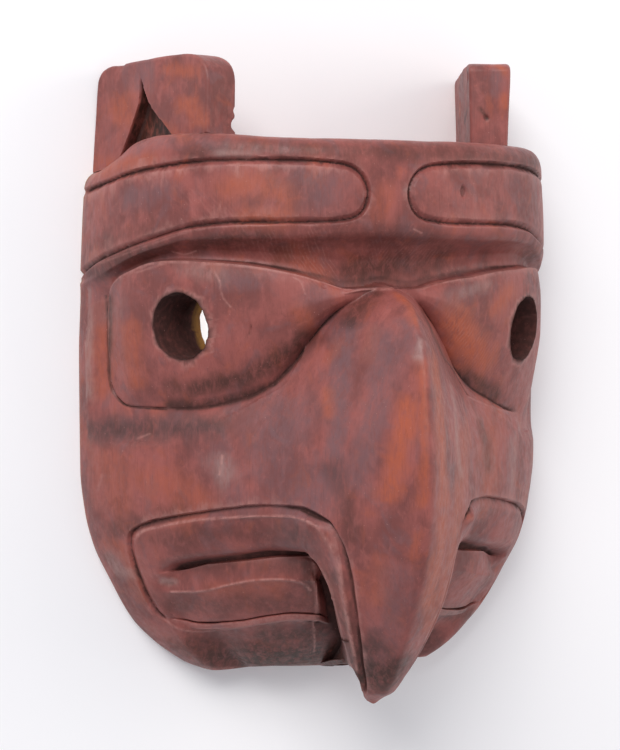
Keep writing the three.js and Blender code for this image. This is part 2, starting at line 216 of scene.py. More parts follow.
half_width = profile([(-6, 30), (0, 48), (6, 58.5), (14, 69), (23, 77.5), (40, 87), (54, 93.6),
                      (67, 97), (85, 99), (135, 99.3), (182, 97.8), (225, 95.5)])
face_depth = profile([(-6, 24), (5, 40), (18, 55), (28, 62), (40, 70), (54, 78), (72, 81), (89, 83),
                      (125, 81), (140, 82), (165, 87), (182, 88.7), (225, 87)])
squareness = profile([(-6, 2), (5, 1.9), (18, 1.6), (40, 1.65), (54, 1.7), (110, 1.75), (125, 1.85),
                      (140, 2), (182, 2.1), (225, 2.2)])
ridge_depth = profile([(-4, 73), (2, 84), (17, 98.5), (35, 111), (51, 119.7), (66, 125.3),
                       (81, 128), (95, 128.8), (106, 127.8), (117, 126), (128, 124), (142, 117.5),
                       (151, 107), (156, 97), (159.5, 82), (163, 60)])
flank_slope = profile([(-4, 1), (8, 1.06), (20, 0.97), (36, 0.97), (45, 1.04), (62, 1.15),
                       (90, 1.3), (105, 1.36), (115, 1.45), (122, 1.6), (135, 1.8), (160, 2)])
beak_half_width = profile([(-4, 4), (0, 6), (8, 9.1), (17, 12.6), (40, 19.2), (57, 23), (66, 25.2),
                           (80, 30), (110, 40)])

# The upper lip runs on down the beak's side: how far out and how far back its free edge lies
lip_out = profile([(-4, 0.8), (2, 1), (10, 1.6), (18.5, 2.5), (32, 3.8), (45, 4.6), (50, 5.5),
                   (54.4, 6.4), (57, 7.6), (62, 8.6), (70, 8)])
lip_back = profile([(-4, 3), (10, 4.2), (18.5, 5.4), (32, 7.4), (45, 9.8), (50, 11.8), (54.4, 14.4),
                    (57, 16), (62, 13), (70, 5)])

# Half the width of the wood behind the beak's free end
keel = profile([(-4, 1), (12, 1.2), (18, 2.6), (24, 5.6), (32, 8.6), (40, 11.2), (50, 13.5)])

# Lines across the face: each pair is degrees round from the middle and the height there

band_edge = profile([(0, 179), (20, 178), (47, 177), (55, 174.2), (63.5, 170.5), (73.5, 165.5),
                     (90, 160)])
eye_top = profile([(0, 158.6), (9, 158), (14, 160.3), (22, 163.8), (33, 166.8), (42, 168),
                   (51, 168.6), (57, 168.2), (64.5, 165), (70, 162), (73.5, 158.6), (75, 154),
                   (90, 150)])
eye_foot = profile([(0, 154), (6, 154), (9, 151.5), (13, 145), (17, 136.6), (21, 128), (26, 121),
                    (33, 116), (46, 112), (57, 111.4), (66, 111.4), (69, 111.9), (72, 114.4),
                    (74.5, 118.5), (90, 122)])
socket_foot = profile([(0, 148), (8, 143), (13, 129), (21, 111), (30, 101), (40, 96), (50, 95.4),
                       (60, 96.6), (66, 96.2), (73, 96), (77, 96.8), (80, 98.6), (90, 101)])
mouth_top = profile([(0, 57), (12.5, 58), (13.9, 64), (14.7, 68.4), (15.8, 71.8), (17.8, 74.6),
                     (22, 75.3), (28, 75.2), (36.3, 73.6), (49.3, 70.2), (60.5, 66.5), (67.6, 62),
                     (71.2, 52), (90, 50)])
slot_top = profile([(0, 50), (17.2, 50), (18.6, 55.6), (20.5, 57), (27.6, 57.2), (30, 56.9),
                    (40, 54.4), (55, 50.2), (65, 46.4), (90, 43)])
slot_foot = profile([(0, 48), (17.2, 48), (18.6, 53), (20.5, 54.2), (27.6, 54), (35.4, 52.4),
                     (46, 50), (62, 45.4), (90, 40)])
lip_ridge = profile([(0, 38), (20, 38), (21.7, 38.6), (22.6, 41), (24, 43.4), (27.3, 45),
                     (34.4, 44.6), (41, 42.2), (49, 39.6), (60, 37.6), (90, 34)])
lip_foot = profile([(0, 26), (20, 26), (23.2, 27.4), (25.3, 29.4), (29.7, 30), (34.5, 28.8),
                    (41.2, 26.2), (50.3, 24.5), (56.3, 24.2), (65, 25.4), (90, 25)])
chin_foot = profile([(0, -4), (8, -3), (14, 0.5), (17.5, 12.5), (21, 6), (40, 3.6), (66, 2),
                     (90, 4)])

# How deep the brow's hollow is, and how far the crown drops towards the sides
brow_hollow = profile([(0, 9.5), (30, 9.5), (50, 7.5), (66, 6.2), (76, 5.2), (83, 1.6), (90, 0.4)])
crown_drop = profile([(0, 0), (56, 0), (65, 1.6), (71, 5), (78, 8), (84, 9.6), (90, 10)])

# The headband panel's outline, which runs on round the side past the flat back
BAND_PANEL = [(93, 196.3), (75, 199.6), (64, 202.8), (53, 204.9), (42, 206.3), (28, 206.6),
              (16, 206), (9, 204.3), (5.6, 199), (5.2, 191), (7.6, 185.4), (13, 183.5), (24, 183.1),
              (36, 183), (46, 181.4), (54, 178.2), (63, 174.8), (71, 171.6), (80, 168),
              (88.7, 163.8), (93, 161.5)]

# The mouth's outline, which runs on down the beak's side
MOUTH_OUTLINE = [(67, 23.5), (70.6, 27), (72.4, 35.8), (72, 44), (71.2, 50.5), (70.2, 57),
                 (67.6, 62), (60.5, 66.5), (49.3, 70.2), (36.3, 73.6), (28, 75.2), (22, 75.3),
                 (17.8, 74.6), (15.8, 71.8), (14.7, 68.4), (13.9, 64), (13.4, 57), (13.2, 48),
                 (13.3, 39), (13.1, 26), (13.1, 10), (13.1, -2)]


def rounded(angle, n):
    """An angle's sine and cosine, and how far out a rounded outline lies: a larger n is squarer."""
    turn = np.radians(angle)
    sine, cosine = np.sin(turn), np.maximum(np.cos(turn), 0)
    return sine, cosine, (np.abs(sine) ** n + cosine ** n) ** (-1 / n)


def section(angle, y, inset=0.0):
    """X and Z on the rounded face without its beak, moved in along the surface by the inset."""
    sine, cosine, reach = rounded(angle, squareness(y))
    return (half_width(y) - inset * 0.98) * sine * reach, (face_depth(y) - inset) * cosine * reach


def angle_at(x, y):
    """The angle at which the rounded face is x wide."""
    share = np.clip(x / half_width(y), 0, 0.9) ** squareness(y)
    return np.degrees(np.arctan((share / (1 - share)) ** (1 / squareness(y))))


def behind_beak(y):
    """Half the width of the wood between beak and face: a keel that narrows to the chin."""
    return lerp(keel(y), beak_half_width(y) + lip_out(y) + 2, fade(y, 50, 60))


def column_angle(column, y):
    """Beside the mouth the columns near the beak close up, so that they follow its side."""
    size = np.abs(column)
    wide = beak_half_width(y)
    moved = between(size, [
        (0, 0), (SHOULDER, angle_at(wide, y)), (LIP_EDGE, angle_at(wide + LIP_EDGE_OUT, y)),
        (WALL_FOOT, angle_at(wide + lip_out(y), y)), (BEHIND_BEAK, angle_at(behind_beak(y), y)),
        (EVEN_FROM, EVEN_FROM)])
    return np.sign(column) * lerp(size, moved, 1 - fade(y, 68, 84))


def between(size, places):
    """Straight stretches between values that are given at fixed columns."""
    value = size
    for (start, low), (end, high) in zip(places, places[1:]):
        here = (size > start) & (size <= end)
        value = np.where(here, lerp(low, high, (size - start) / (end - start)), value)
    return value


def beak_front(x, y):
    """The beak's two flanks, which meet in a rounded ridge."""
    ridge_radius = 2.6
    return ridge_depth(y) - flank_slope(y) * (np.hypot(x, ridge_radius) - ridge_radius)


def raised_front(column, y, inset):
    """X and Z on the face with the beak, its free sides left out."""
    x, z = section(column_angle(column, y), y, inset)
    plain_x, _ = section(column_angle(column, y), y)

    # The beak meets the face in a soft fillet, and between the eyes in a crisp one.
    blend = lerp(BEAK_FILLET, 1.5, fade(y, 96, 124))
    front = lerp(z, smooth_max(z, beak_front(plain_x, y), blend), 1 - fade(np.abs(column), 44, 66))
    return np.where(front > z, lerp(x, plain_x, 0.5), x), front


def side_depth(column, y, inset):
    """Z beside the mouth: the beak's shoulder, the lip's edge, the side's foot, then the mouth."""
    size = np.abs(column)
    wide = beak_half_width(y)
    plain = section(angle_at(wide, y), y)[1]
    shoulder = smooth_max(plain, beak_front(wide, y), BEAK_FILLET)
    mouth = section(angle_at(behind_beak(y), y), y, inset)[1]
    foot = np.maximum(shoulder - lip_back(y), mouth)

    # Above the mouth's opening the lip's surface turns the corner in one sweep.
    above = np.clip((y - slot_top(size) + 0.8) / 1.2, 0, 1)
    lift = above * (foot - mouth) * (1 - fade(size, WALL_FOOT - 3, 28))
    near = between(size, [(0, shoulder), (SHOULDER, shoulder), (LIP_EDGE, shoulder - LIP_EDGE_BACK),
                          (WALL_FOOT, foot), (BEHIND_BEAK, mouth + lift)])
    return np.where(size <= BEHIND_BEAK, near, section(column_angle(column, y), y, inset)[1] + lift)


def face_points(column, y, inset):
    """Points of the outer surface, beak included."""
    size = np.abs(column)
    x, z = raised_front(column, y, inset)
    line = mouth_top(size)

    # The upper lip slants from the cheek's edge down to the mouth's opening.
    cheek = raised_front(column, line, 0)[1]
    share = np.clip((y - slot_top(size)) / (line - slot_top(size)), 0, 1)
    slant = (cheek - side_depth(column, line, 0)) * lerp(share, fade(share, 0, 1), 0.5)
    beside_mouth = (y < line - 0.05) & (size > SHOULDER)
    angle = column_angle(column, y)
    across = lerp(section(angle, y)[0], section(angle, y, inset)[0], fade(size, 30, 55))
    x = np.where(beside_mouth, across, x)
    z = np.where(beside_mouth, side_depth(column, y, inset) + slant, z)
    return np.stack([x, y, z], axis=-1)


def brow_rows(size, edge, top):
    """Over the top edge, down the headband and through the brow's hollow."""
    drop, hollow = crown_drop(size), brow_hollow(size)
    for turn in np.radians((80, 60, 40, 20, 0)):
        yield lerp(BAND_TOP - 2, CROWN, math.sin(turn)) - drop, 6 * (1 - math.cos(turn)), 0
    yield lerp(BAND_TOP - drop, edge, 0.5), 0, 0
    yield edge + 4, 0, 0
    yield edge + 1, 0.6, 0
    for t, depth in ((0.05, 0.2), (0.16, 0.48), (0.32, 0.78), (0.52, 1.0), (0.74, 1.06),
                     (0.9, 1.0)):
        yield lerp(edge, top, t), hollow * depth, 0
    yield top + 0.6, hollow * 0.92, 1


def eye_rows(size, right, top, foot, socket):
    """Over the eye, through the cove below it and down the cheek."""
    hollow = brow_hollow(size)

    # The eye is a low dome, rounded down to a cut at its outer end, with a plain strip beyond.
    on_eye = size <= EYE_END
    beside_nose = fade(size, 6, 13)
    outer_end = lerp(-5, 3.1, fade(size, 53, EYE_END))
    strip = 3.6 * np.clip((SOCKET_END - size) / 8, 0, 1)
    cove_end = np.where(right, 88, SOCKET_END)
    cove_reach = np.clip((cove_end - size) / 10, 0, 1)
    sharp = fade(size, 50, 61)
    for t, rise in ((0, 2.6), (0.1, 1.2), (0.25, 0), (0.42, -0.8), (0.6, -0.6), (0.78, 0.6),
                    (0.91, 2.4), (1, 4.4)):
        eye = smooth_max(rise * (1 - 0.3 * sharp) * beside_nose, outer_end, 2)
        beyond = np.maximum(strip, hollow * 0.92 * (1 - fade(t, 0, 0.7)))
        yield lerp(top, foot, t), np.where(on_eye, eye, beyond), on_eye * (t in (0, 1))

    # Below it lies a cove, soft beside the beak and with a sharp ledge under the eye's outer half.
    for t, soft, deep in ((0.12, 2.6, 3), (0.3, 1.2, 3.1), (0.5, 0.4, 3.3), (0.66, 0.1, 3.4),
                          (0.82, 0, 2.6), (1, 0, 0.2)):
        deep = np.where(right, 3.4 * (1 - fade(t, 0.35, 1.1)), deep)
        deep = lerp(deep * cove_reach, strip * (1 - fade(t, 0.6, 1)), fade(size, 70, 80))
        yield lerp(foot, socket, t), lerp(soft * beside_nose, deep, sharp), 0
    for t in (0.12, 0.3, 0.55, 0.8):
        yield lerp(socket, mouth_top(size), t), 0, 0


def mouth_rows(size):
    """Over the upper lip, into the mouth's opening, over the lower lip and down the chin."""
    # Behind the beak's free side the mouth goes on as it is beside it.
    beside = np.where(size > SHOULDER, np.maximum(size, BEHIND_BEAK), size)
    in_mouth = fade(beside, 18, 20) * (1 - fade(beside, MOUTH_END - 2, MOUTH_END + 0.5))
    slot = in_mouth * (1 - fade(beside, 57, 63))
    relief = in_mouth * (1 - fade(beside, 60, 68))

    def in_lip(inset, end=22.6):
        """The lower lip's relief: it stops short of the beak and fades at its outer end."""
        return lerp(inset * relief, 10 * in_mouth, 1 - np.clip((beside - end) / 2.5, 0, 1))

    lip, chin, foot = lip_ridge(size), lip_foot(size), chin_foot(size)
    upper, lower = slot_top(size), slot_foot(size)
    panel = mouth_top(size) - upper
    yield mouth_top(size), 0, 1
    yield upper + 0.5 * panel, 0, 0
    yield upper + np.minimum(3.6, 0.35 * panel), 0.1 * slot, 0
    yield upper + np.minimum(1.6, 0.2 * panel), slot, 0
    yield upper + 0.4, 3 * slot, 0
    yield upper - 0.8, 7.4 * slot, 0
    yield lower + 0.6, 8.6 * slot, 0
    yield lower, in_lip(6.2 * slot, 20.5), 1
    yield lerp(lower, lip, 0.5), in_lip(3, 22.3), 0
    yield lip + 0.5, in_lip(0.3, 23.3), 0
    yield lip, in_lip(0.1, 23.2), 0.8
    yield lip - 1, in_lip(0.4, 23.1), 0
    yield lerp(lip, chin, 0.5), in_lip(1.8), 0
    yield chin + 0.9, in_lip(3.2), 1
    yield chin + 0.3, in_lip(5), 0
    yield chin - 0.3, in_lip(2.6), 1
    yield chin - 2.3, in_lip(2.8), 1
    under_lip = in_mouth * (1 - fade(beside, 52, 68))
    lip_end = 1 - fade(beside, 22.6, 29)
    for share, depth in ((0.14, 7), (0.23, 8.6), (0.46, 10.4)):
        inset = lerp(depth * under_lip, max(depth, 10) * in_mouth, lip_end)
        yield lerp(chin, foot, share), inset, 0
    yield foot, 12 * under_lip, 0


def key_rows(column):
    """The carver's lines from the top edge to the chin: height, depth and how sharply it breaks."""
    size, right = np.abs(column), column > 0
    edge = band_edge(size)

    # The right eye sits a little lower.
    top = eye_top(size) - right * (2.2 * fade(size, 10, 28) + 3 * fade(size, 58, 72))
    foot = eye_foot(size) - right * 5.5 * fade(size, 30, 62)
    socket = socket_foot(size) - right * 3 * fade(size, 45, 64)
    rows = [*brow_rows(size, edge, top), *eye_rows(size, right, top, foot, socket),
            *mouth_rows(size)]
    return np.stack([[value + 0 * size for value in row] for row in rows], axis=1)


def filled_rows(column, spacing):
    """Close rows between the key rows: heights and insets, smooth but where the surface breaks."""
    height, inset, crease = key_rows(column)
    width = np.minimum(np.diff(height, axis=0), -1e-3)
    rise = np.diff(inset, axis=0) / width
    slope = shared_slope(rise)
    heights, insets = [], []
    last = len(rise) - 1
    for i in range(last + 1):
        start = rise[i] if i == 0 else lerp(slope[i - 1], rise[i], crease[i])
        end = rise[i] if i == last else lerp(slope[i], rise[i], crease[i + 1])
        count = max(2, math.ceil(-width[i].mean() / spacing))
        for t in np.arange(count) / count:
            heights.append(lerp(height[i], height[i + 1], t))
            insets.append(bend(inset[i], inset[i + 1], start, end, width[i], t))
    heights.append(height[-1])
    insets.append(inset[-1])
    return np.stack(heights), np.stack(insets)


def spread_columns(step):
    """Columns from one side of the flat back to the other, closest near the beak."""
    near = np.arange(0, BEHIND_BEAK, step * 0.7)
    far = np.linspace(BEHIND_BEAK, 90, round((90 - BEHIND_BEAK) / step))
    half = np.concatenate([near, far])
    return np.concatenate([-half[:0:-1], half])


# Carving on the face

def grid_normals(grid):
    """Outward normals of a grid of points."""
    across = np.gradient(grid, axis=1)
    down = np.gradient(grid, axis=0)
    return unit(np.cross(down, across))


def line_on_face(path, side, steps, inset=0.0):
    """A smooth line on the face through columns and heights."""
    spots = curve_through(path, steps)
    column = np.minimum(spots[:, 0], 90)
    points = face_points(side * column, spots[:, 1], inset)
    points[:, 2] -= np.maximum(spots[:, 0] - 90, 0) * 1.5
    return points


def groove_depth(points, line, depth, outer, inner, is_inside, seed):
    """How deep a groove along the line cuts: steep outside, flatter inside, a little uneven."""
    low, high = line.min(0) - inner, line.max(0) + inner
    near = np.all((points > low) & (points < high), axis=1)
    cut = np.zeros(len(points))
    gap, along = distance_to_line(points[near], line)
    wobble = smooth_noise(points[near], (8, 8, 8), seed)
    half = np.where(is_inside[near], inner, outer) * (1 + 0.15 * wobble)
    bottom = depth * (1 + 0.15 * wobble) * fade(along, -0.001, 0.03) * fade(1 - along, -0.001, 0.03)
    cut[near] = bottom * np.clip(1 - gap / half, 0, 1)
    return cut


def is_within(size, height, outline):
    """Whether each column and height lies within the closed outline."""
    within = np.zeros(len(size), bool)
    for (c0, h0), (c1, h1) in zip(outline, outline[1:] + outline[:1]):
        if h0 != h1:
            crossing = c0 + (c1 - c0) * (height - h0) / (h1 - h0)
            within ^= ((h0 > height) != (h1 > height)) & (size < crossing)
    return within


def near_path(points, half, path):
    """How close each point lies to the path, from the front: 1 on it, 0 past the half width."""
    line = curve_through(path, 8 * len(path)) if len(path) > 2 else np.array(path, float)
    flat = points[:, :2]
    near = np.all((flat > line.min(0) - half) & (flat < line.max(0) + half), axis=1)
    near &= points[:, 2] > IN_FRONT
    share = np.zeros(len(points))
    share[near] = 1 - fade(distance_to_line(flat[near], line)[0] / half, 0, 1)
    return share


def dent_depth(points, x, y, half_x, half_y, depth):
    """How deep a small dent in the front cuts."""
    gap = np.hypot((points[:, 0] - x) / half_x, (points[:, 1] - y) / half_y)
    return depth * (1 - fade(gap, 0.5, 1)) * (points[:, 2] > 20)


# Thin lines cut with a knife's point round the eyes' outer ends: side, width, depth, how deep the
# ground lies there, and the path in columns and heights
KNIFE_LINES = (
    (-1, 1.3, 0.8, 3.3, ((74.2, 157), (74.9, 148), (75, 132), (74.8, 121), (73, 115.6), (69, 112),
     (63, 111.3), (54, 111.5), (44, 112.6))),
    (1, 1.3, 0.8, 3.3, ((74.2, 154), (74.9, 146), (75, 130), (74.8, 117), (73, 111))),
)


def carve(grid, column, height, sizes):
    """Cuts the grooves, dents and tool marks into the grid of the outer surface."""
    shape = grid.shape
    points = grid.reshape(-1, 3)
    normals = grid_normals(grid).reshape(-1, 3)
    size = np.broadcast_to(np.abs(column), shape[:2]).ravel()
    height = height.ravel()
    cut = np.zeros(len(points))
    in_panel = is_within(size, height, BAND_PANEL)
    everywhere = np.ones(len(points), bool)
    depth, width = sizes.groove_depth / MM, sizes.groove_width / MM
    for side in (-1, 1):
        line = line_on_face(BAND_PANEL, side, 80)
        cut = np.maximum(
            cut, groove_depth(points, line, depth, width * 0.42, width * 0.75, in_panel, 40))
        shift = 0.7 * (side > 0)    # on the right it lies a little behind the beak's shoulder
        outline = [(turn + shift * (turn < 20), level) for turn, level in MOUTH_OUTLINE]
        line = line_on_face(outline, side, 110)
        in_mouth = is_within(size, height, outline)
        cut = np.maximum(
            cut, groove_depth(points, line, depth, width * 0.4, width * 1.3, in_mouth, 41))
    for side, wide, deep, ground, path in KNIFE_LINES:
        # The V's rim is a millimetre too high, so that it also cuts where the ground rises.
        line = line_on_face(path, side, 90, ground)
        half = wide / 2 + 0.6
        cut = np.maximum(cut, groove_depth(points, line, deep + 1, half, half, everywhere, 42) - 1)

    # Broad knife facets, then the fine unevenness that the sandpaper left.
    broad = (0.30 * smooth_noise(points, (22, 34, 22), 1)
             + 0.16 * smooth_noise(points, (9, 16, 9), 2))
    fine = 0.05 * smooth_noise(points, (3.2, 6, 3.2), 3)
    outward = (broad + fine) * fade(89 - size, 0, 6) - cut
    for half, rise, _, *path in TOOL_LINES:
        outward += rise * near_path(points, half, path)
    for x, y, half_x, half_y, depth in DENTS:
        outward -= dent_depth(points, x, y, half_x, half_y, depth)
    carved = points + normals * outward[:, None]
    # The crown rises under the left ear.
    swelling = 2.2 * np.exp(-((points[:, 0] + 70) / 24) ** 2)
    carved[:, 1] += swelling * fade(points[:, 1], 205, CROWN - 1)
    carved[:, 2] = np.maximum(carved[:, 2], 0)
    carved[size >= 90, 2] = 0
    return carved.reshape(shape)


# Dents: X, height, half width, half height, depth
DENTS = ((32.5, 195.5, 1.6, 3.2, 0.7), (-24, 159, 1.4, 1.2, 0.4))

# Beads, scratches and chips: half width, rise, paleness (darkness if negative), then the path in X
# and height. The paleness along raised lines is partly a painted highlight, and the darkness along
# creases partly painted shade.
TOOL_LINES = (
    (0.7, 0.35, 0.8, (-84.4, 59.1), (-82.3, 62.6), (-77.6, 64.9), (-67.9, 68.2), (-55.7, 70.2),
     (-45, 71.4), (-37.3, 71.6), (-32.8, 69.9), (-29.6, 66.4), (-27.2, 62.3), (-24.5, 55.3),
     (-22, 45.2), (-19.4, 35.2), (-15.4, 22.8), (-11.2, 11.4)),
    (0.7, 0.25, 0.9, (-69.9, 37.8), (-60.8, 39), (-52.4, 42.3), (-43.6, 44.7), (-31.9, 45),
     (-26, 43.2), (-23.3, 40.5)),
    (0.6, 0.15, 0.55, (-69.6, 25.1), (-64, 21.3), (-52.8, 20.4), (-43.8, 22.9), (-31.5, 26),
     (-26, 27), (-21.5, 26.2)),
    (0.9, 0.5, 0.6, (-16.3, 156.3), (-10.3, 157.4), (-4.3, 157.8), (1.7, 158.3)),
    (0.6, 0.1, 0.5, (-86.5, 164.1), (-77, 167.9), (-68.3, 168.3), (-51.1, 166), (-35.9, 163.3),
     (-20.3, 160.4)),
    (0.6, 0.1, 0.35, (-95.7, 168), (-85.6, 173.6), (-69, 180.2), (-47.6, 181.7), (-23.8, 182.3)),
    (0.7, 0.3, 0.4, (39.8, 115.5), (50.1, 111.9), (60.7, 108.9), (75.8, 106.3)),
    (0.5, -0.12, 0.9, (-58.6, 94.2), (-59.7, 86.7)), (0.6, -0.1, 0.6, (-62.6, 164.8), (-61.1, 161)),
    (0.5, -0.1, 0.6, (-61.1, 161), (-60.2, 155.4), (-57.3, 151)),
    (0.5, -0.1, 0.5, (-84.2, 99.1), (-80.1, 101.2)),
    (0.5, -0.1, 0.7, (-35.6, 162.4), (-33, 160.8), (-31.4, 156.1)),
    (0.5, -0.12, 0.7, (10.2, 180.8), (14, 179.2)),
    (0.5, -0.1, 0.5, (-74.6, 172.4), (-70, 171.3), (-66.8, 172.5)),
    (0.5, -0.1, 0.4, (-95.6, 77.4), (-94.7, 84)),
    (0.6, 0, -0.9, (-92.3, 155), (-92.3, 137), (-91.4, 120), (-90, 115.3), (-87.9, 112.6),
     (-84, 111.3), (-75, 111)),
    (0.7, -0.7, -0.6, (25.9, 130.7), (33.6, 125.3), (39.8, 116.1)),
    (0.5, -0.5, -0.5, (-50.1, 144.1), (-50.4, 140.5)),
)


def crown_rows(edge, count, grow):
    """The flat top, as rings that close in on the middle of the back."""
    rings = []
    for i in range(1, count):
        share = 1 - i / count
        ring = edge * [share, 0, share]
        ring[:, 1] = lerp(CROWN + grow, edge[:, 1], share ** 1.5)
        rings.append(ring)
    marks = np.stack(rings[::-1])
    marks[..., 1] += 0.3 * smooth_noise(marks, (40, 40, 3.5), 7)
    return marks


def underside_rows(column, edge, count):
    """Under the chin and behind the beak's free tip, back towards the rim."""
    chin = [(1, None, 1), (0.9, 3.2, 0.84), (0.62, 1.6, 0.55), (0.34, 0.6, 0.25), (0.02, 0.2, 0.01)]
    beak = [(1, None, 1), (0.6, 13, 0.82), (0.45, 8, 0.5), (0.35, 2, 0.2), (0.02, 0.2, 0.01)]
    at_beak = (1 - fade(np.abs(column), WALL_FOOT, BEHIND_BEAK))[:, None]

    def ring(stage):
        spread, height, reach = stage
        row = edge * [spread, 1, reach]
        if height is not None:
            row[:, 1] = height
        return row

    rows = []
    for i in range(len(chin) - 1):
        for t in (np.arange(count) + 1) / count:
            at_chin = lerp(ring(chin[i]), ring(chin[i + 1]), t)
            rows.append(lerp(at_chin, lerp(ring(beak[i]), ring(beak[i + 1]), t), at_beak))
    return np.stack(rows)


def closed_grid(grid):
    """Points and faces of a closed solid from a grid whose side columns lie on the flat back."""
    rows, width = grid.shape[:2]
    points = np.concatenate([grid.reshape(-1, 3), grid[:1].mean(1), grid[-1:].mean(1)])
    top, bottom = rows * width, rows * width + 1
    index = np.arange(rows * width).reshape(rows, width)
    index = np.concatenate([index, index[:, :1]], axis=1)
    corners = [index[:-1, :-1], index[1:, :-1], index[1:, 1:], index[:-1, 1:]]
    quads = np.stack(corners, axis=-1).reshape(-1, 4)
    caps = []
    for row, pole, order in ((index[0], top, 1), (index[-1], bottom, -1)):
        caps.append(np.stack([np.full(width, pole), row[:-1], row[1:]][::order], axis=-1))
    return points, quads.tolist() + np.concatenate(caps).tolist()


def outer_surface(sizes, fineness, grow=0.0, back=0.0):
    """Points and faces of the face's whole outside, down to the back; grow swells it evenly."""
    step, spacing = fineness
    column = spread_columns(step)
    height, inset = filled_rows(column, spacing)
    grid = face_points(np.broadcast_to(column, height.shape), height, inset)
    grid = carve(grid, column, height, sizes)
    grid = grid + grid_normals(grid) * grow
    grid[:, [0, -1], 2] = back
    over = crown_rows(grid[0], count=40, grow=grow)
    under = underside_rows(column, grid[-1], count=10)
    return closed_grid(np.concatenate([over, grid, under]))


def hollow_surface(sizes):
    """The carved-out inside with the scallops of a small gouge, run out past the flat back."""
    rim, wall = sizes.rim_width / MM, sizes.front_wall / MM
    rounding = profile([(0, 0.5), (0.04, 0.82), (0.14, 0.97), (0.32, 1), (0.68, 1), (0.86, 0.99),
                        (0.96, 0.88), (1, 0.6)])
    steps = 150
    share = np.linspace(1, 0, steps)[:, None]
    y = lerp(HOLLOW_FOOT, HOLLOW_TOP, share)
    sine, cosine, reach = rounded(np.linspace(-90, 90, steps), HOLLOW_SQUARENESS)
    beside_eyes = 5 * np.exp(-((y - 143) / 24) ** 2)    # thicker wood where the eye holes pass
    x = (half_width(y) - rim - beside_eyes) * rounding(share) * sine * reach
    z = (face_depth(y) - wall) * rounding(share) * cosine * reach
    grid = np.stack([x, y + 0 * x, z], axis=-1)
    outward = unit(grid - [0, (HOLLOW_FOOT + HOLLOW_TOP) / 2, 0])
    marks = gouge_marks(grid, sizes.gouge_mark / MM)
    grid = grid + outward * (marks * fade(z, 0, 6))[..., None]
    lip = grid[:, [0, -1]] * [1, 1, 0] - [0, 0, HOLLOW_PAST_BACK]
    return closed_grid(np.concatenate([lip[:, :1], grid, lip[:, 1:]], axis=1))


def gouge_marks(points, size):
    """Shallow round-bottomed facets, each about the given size across, as a gouge leaves them."""
    rng = np.random.default_rng(11)
    flat = points.reshape(-1, 3)
    low, high = flat.min(0), flat.max(0)
    across = np.maximum(np.ceil((high - low) / size).astype(int), 1)
    counts = np.meshgrid(*[np.arange(n) for n in across], indexing="ij")
    cells = np.stack(counts, axis=-1).reshape(-1, 3)
    centres = low + (cells + rng.uniform(0.15, 0.85, cells.shape)) * size
    home = np.clip(((flat - low) / size).astype(int), 0, across - 1)
    nearest = np.full(len(flat), 1e9)
    for offset in np.ndindex(3, 3, 3):
        cell = np.clip(home + np.array(offset) - 1, 0, across - 1)
        centre = centres[(cell[:, 0] * across[1] + cell[:, 1]) * across[2] + cell[:, 2]]
        nearest = np.minimum(nearest, ((flat - centre) ** 2).sum(1))

    # Each is a little under half a millimetre deep in its middle.
    return (0.35 - nearest / size ** 2).reshape(points.shape[:-1]) * 1.3


# The eye holes' side, narrowness, and how far each lies beside and above its measured place
EYE_HOLES = ((-1, 0.85, 0.3, 0), (1, 1, -1.7, -2))


def hole_frame(sizes, side, aside, above):
    """The middle of an eye hole's axis, and the directions across it, up it and along it."""
    turn = side * sizes.hole_turn
    x, y, z = np.array(sizes.hole_place) / MM
    sine, cosine = math.sin(turn), math.cos(turn)
    axes = np.array([[cosine, 0, -sine], [0, 1, 0], [sine, 0, cosine]])
    return np.array([side * (x + aside), y + above, z]), axes


def eye_hole_surface(sizes, side, narrow, aside, above):
    """A bored and roughly reamed tunnel through the face."""
    turns, rings, half_length = 90, 60, 45
    angle = np.linspace(0, 2 * math.pi, turns, endpoint=False)[None, :]
    along = np.linspace(-half_length, half_length, rings)[:, None]
    bore = sizes.hole_radius / MM
    local = np.stack([narrow * bore * np.cos(angle) + 0 * along, bore * np.sin(angle) + 0 * along,
                      along + 0 * angle], axis=-1)
    rough = (1 + 0.022 * smooth_noise(local, (3, 3, 14), 21)
             + 0.02 * smooth_noise(local, (1.1, 1.1, 4), 22))
    local[..., :2] *= rough[..., None]
    middle, axes = hole_frame(sizes, side, aside, above)
    return closed_grid((local @ axes + middle)[::-1])


# Meshes

def to_frame(points):
    """From millimetres above the chin to metres in the frame."""
    return (np.asarray(points, float) + [0, CHIN_IN_FRAME, 0]) * MM


def new_object(name, points, faces):
    """A mesh object from points in millimetres, with its faces turned outwards."""
    mesh = bpy.data.meshes.new(name)
    mesh.from_pydata(to_frame(points).tolist(), [], faces)
    made = bpy.data.objects.new(name, mesh)
    bpy.context.scene.collection.objects.link(made)
    if signed_volume(mesh) < 0:
        mesh.flip_normals()
    return made


def signed_volume(mesh):
    """The volume inside a closed mesh, negative if its faces point inwards."""
    mesh.calc_loop_triangles()
    place = vertex_places(mesh)[read_rows(mesh.loop_triangles, "vertices", 3, np.int32)]
    return np.einsum("ij,ij->i", place[:, 0], np.cross(place[:, 1], place[:, 2])).sum() / 6


def read_rows(source, name, width, kind=np.float32):
    """What each item of the source keeps under that name, one row each."""
    rows = np.empty(len(source) * width, kind)
    source.foreach_get(name, rows)
    return rows.reshape(-1, width)


def vertex_places(mesh):
    """The mesh's vertices in the frame."""
    return read_rows(mesh.vertices, "co", 3).astype(float)


def above_chin(mesh):
    """The mesh's vertices in millimetres above the chin."""
    return vertex_places(mesh) / MM - [0, CHIN_IN_FRAME, 0]


def vertex_normals(mesh):
    """The mesh's outward directions, one a vertex."""
    return read_rows(mesh.vertex_normals, "vector", 3)


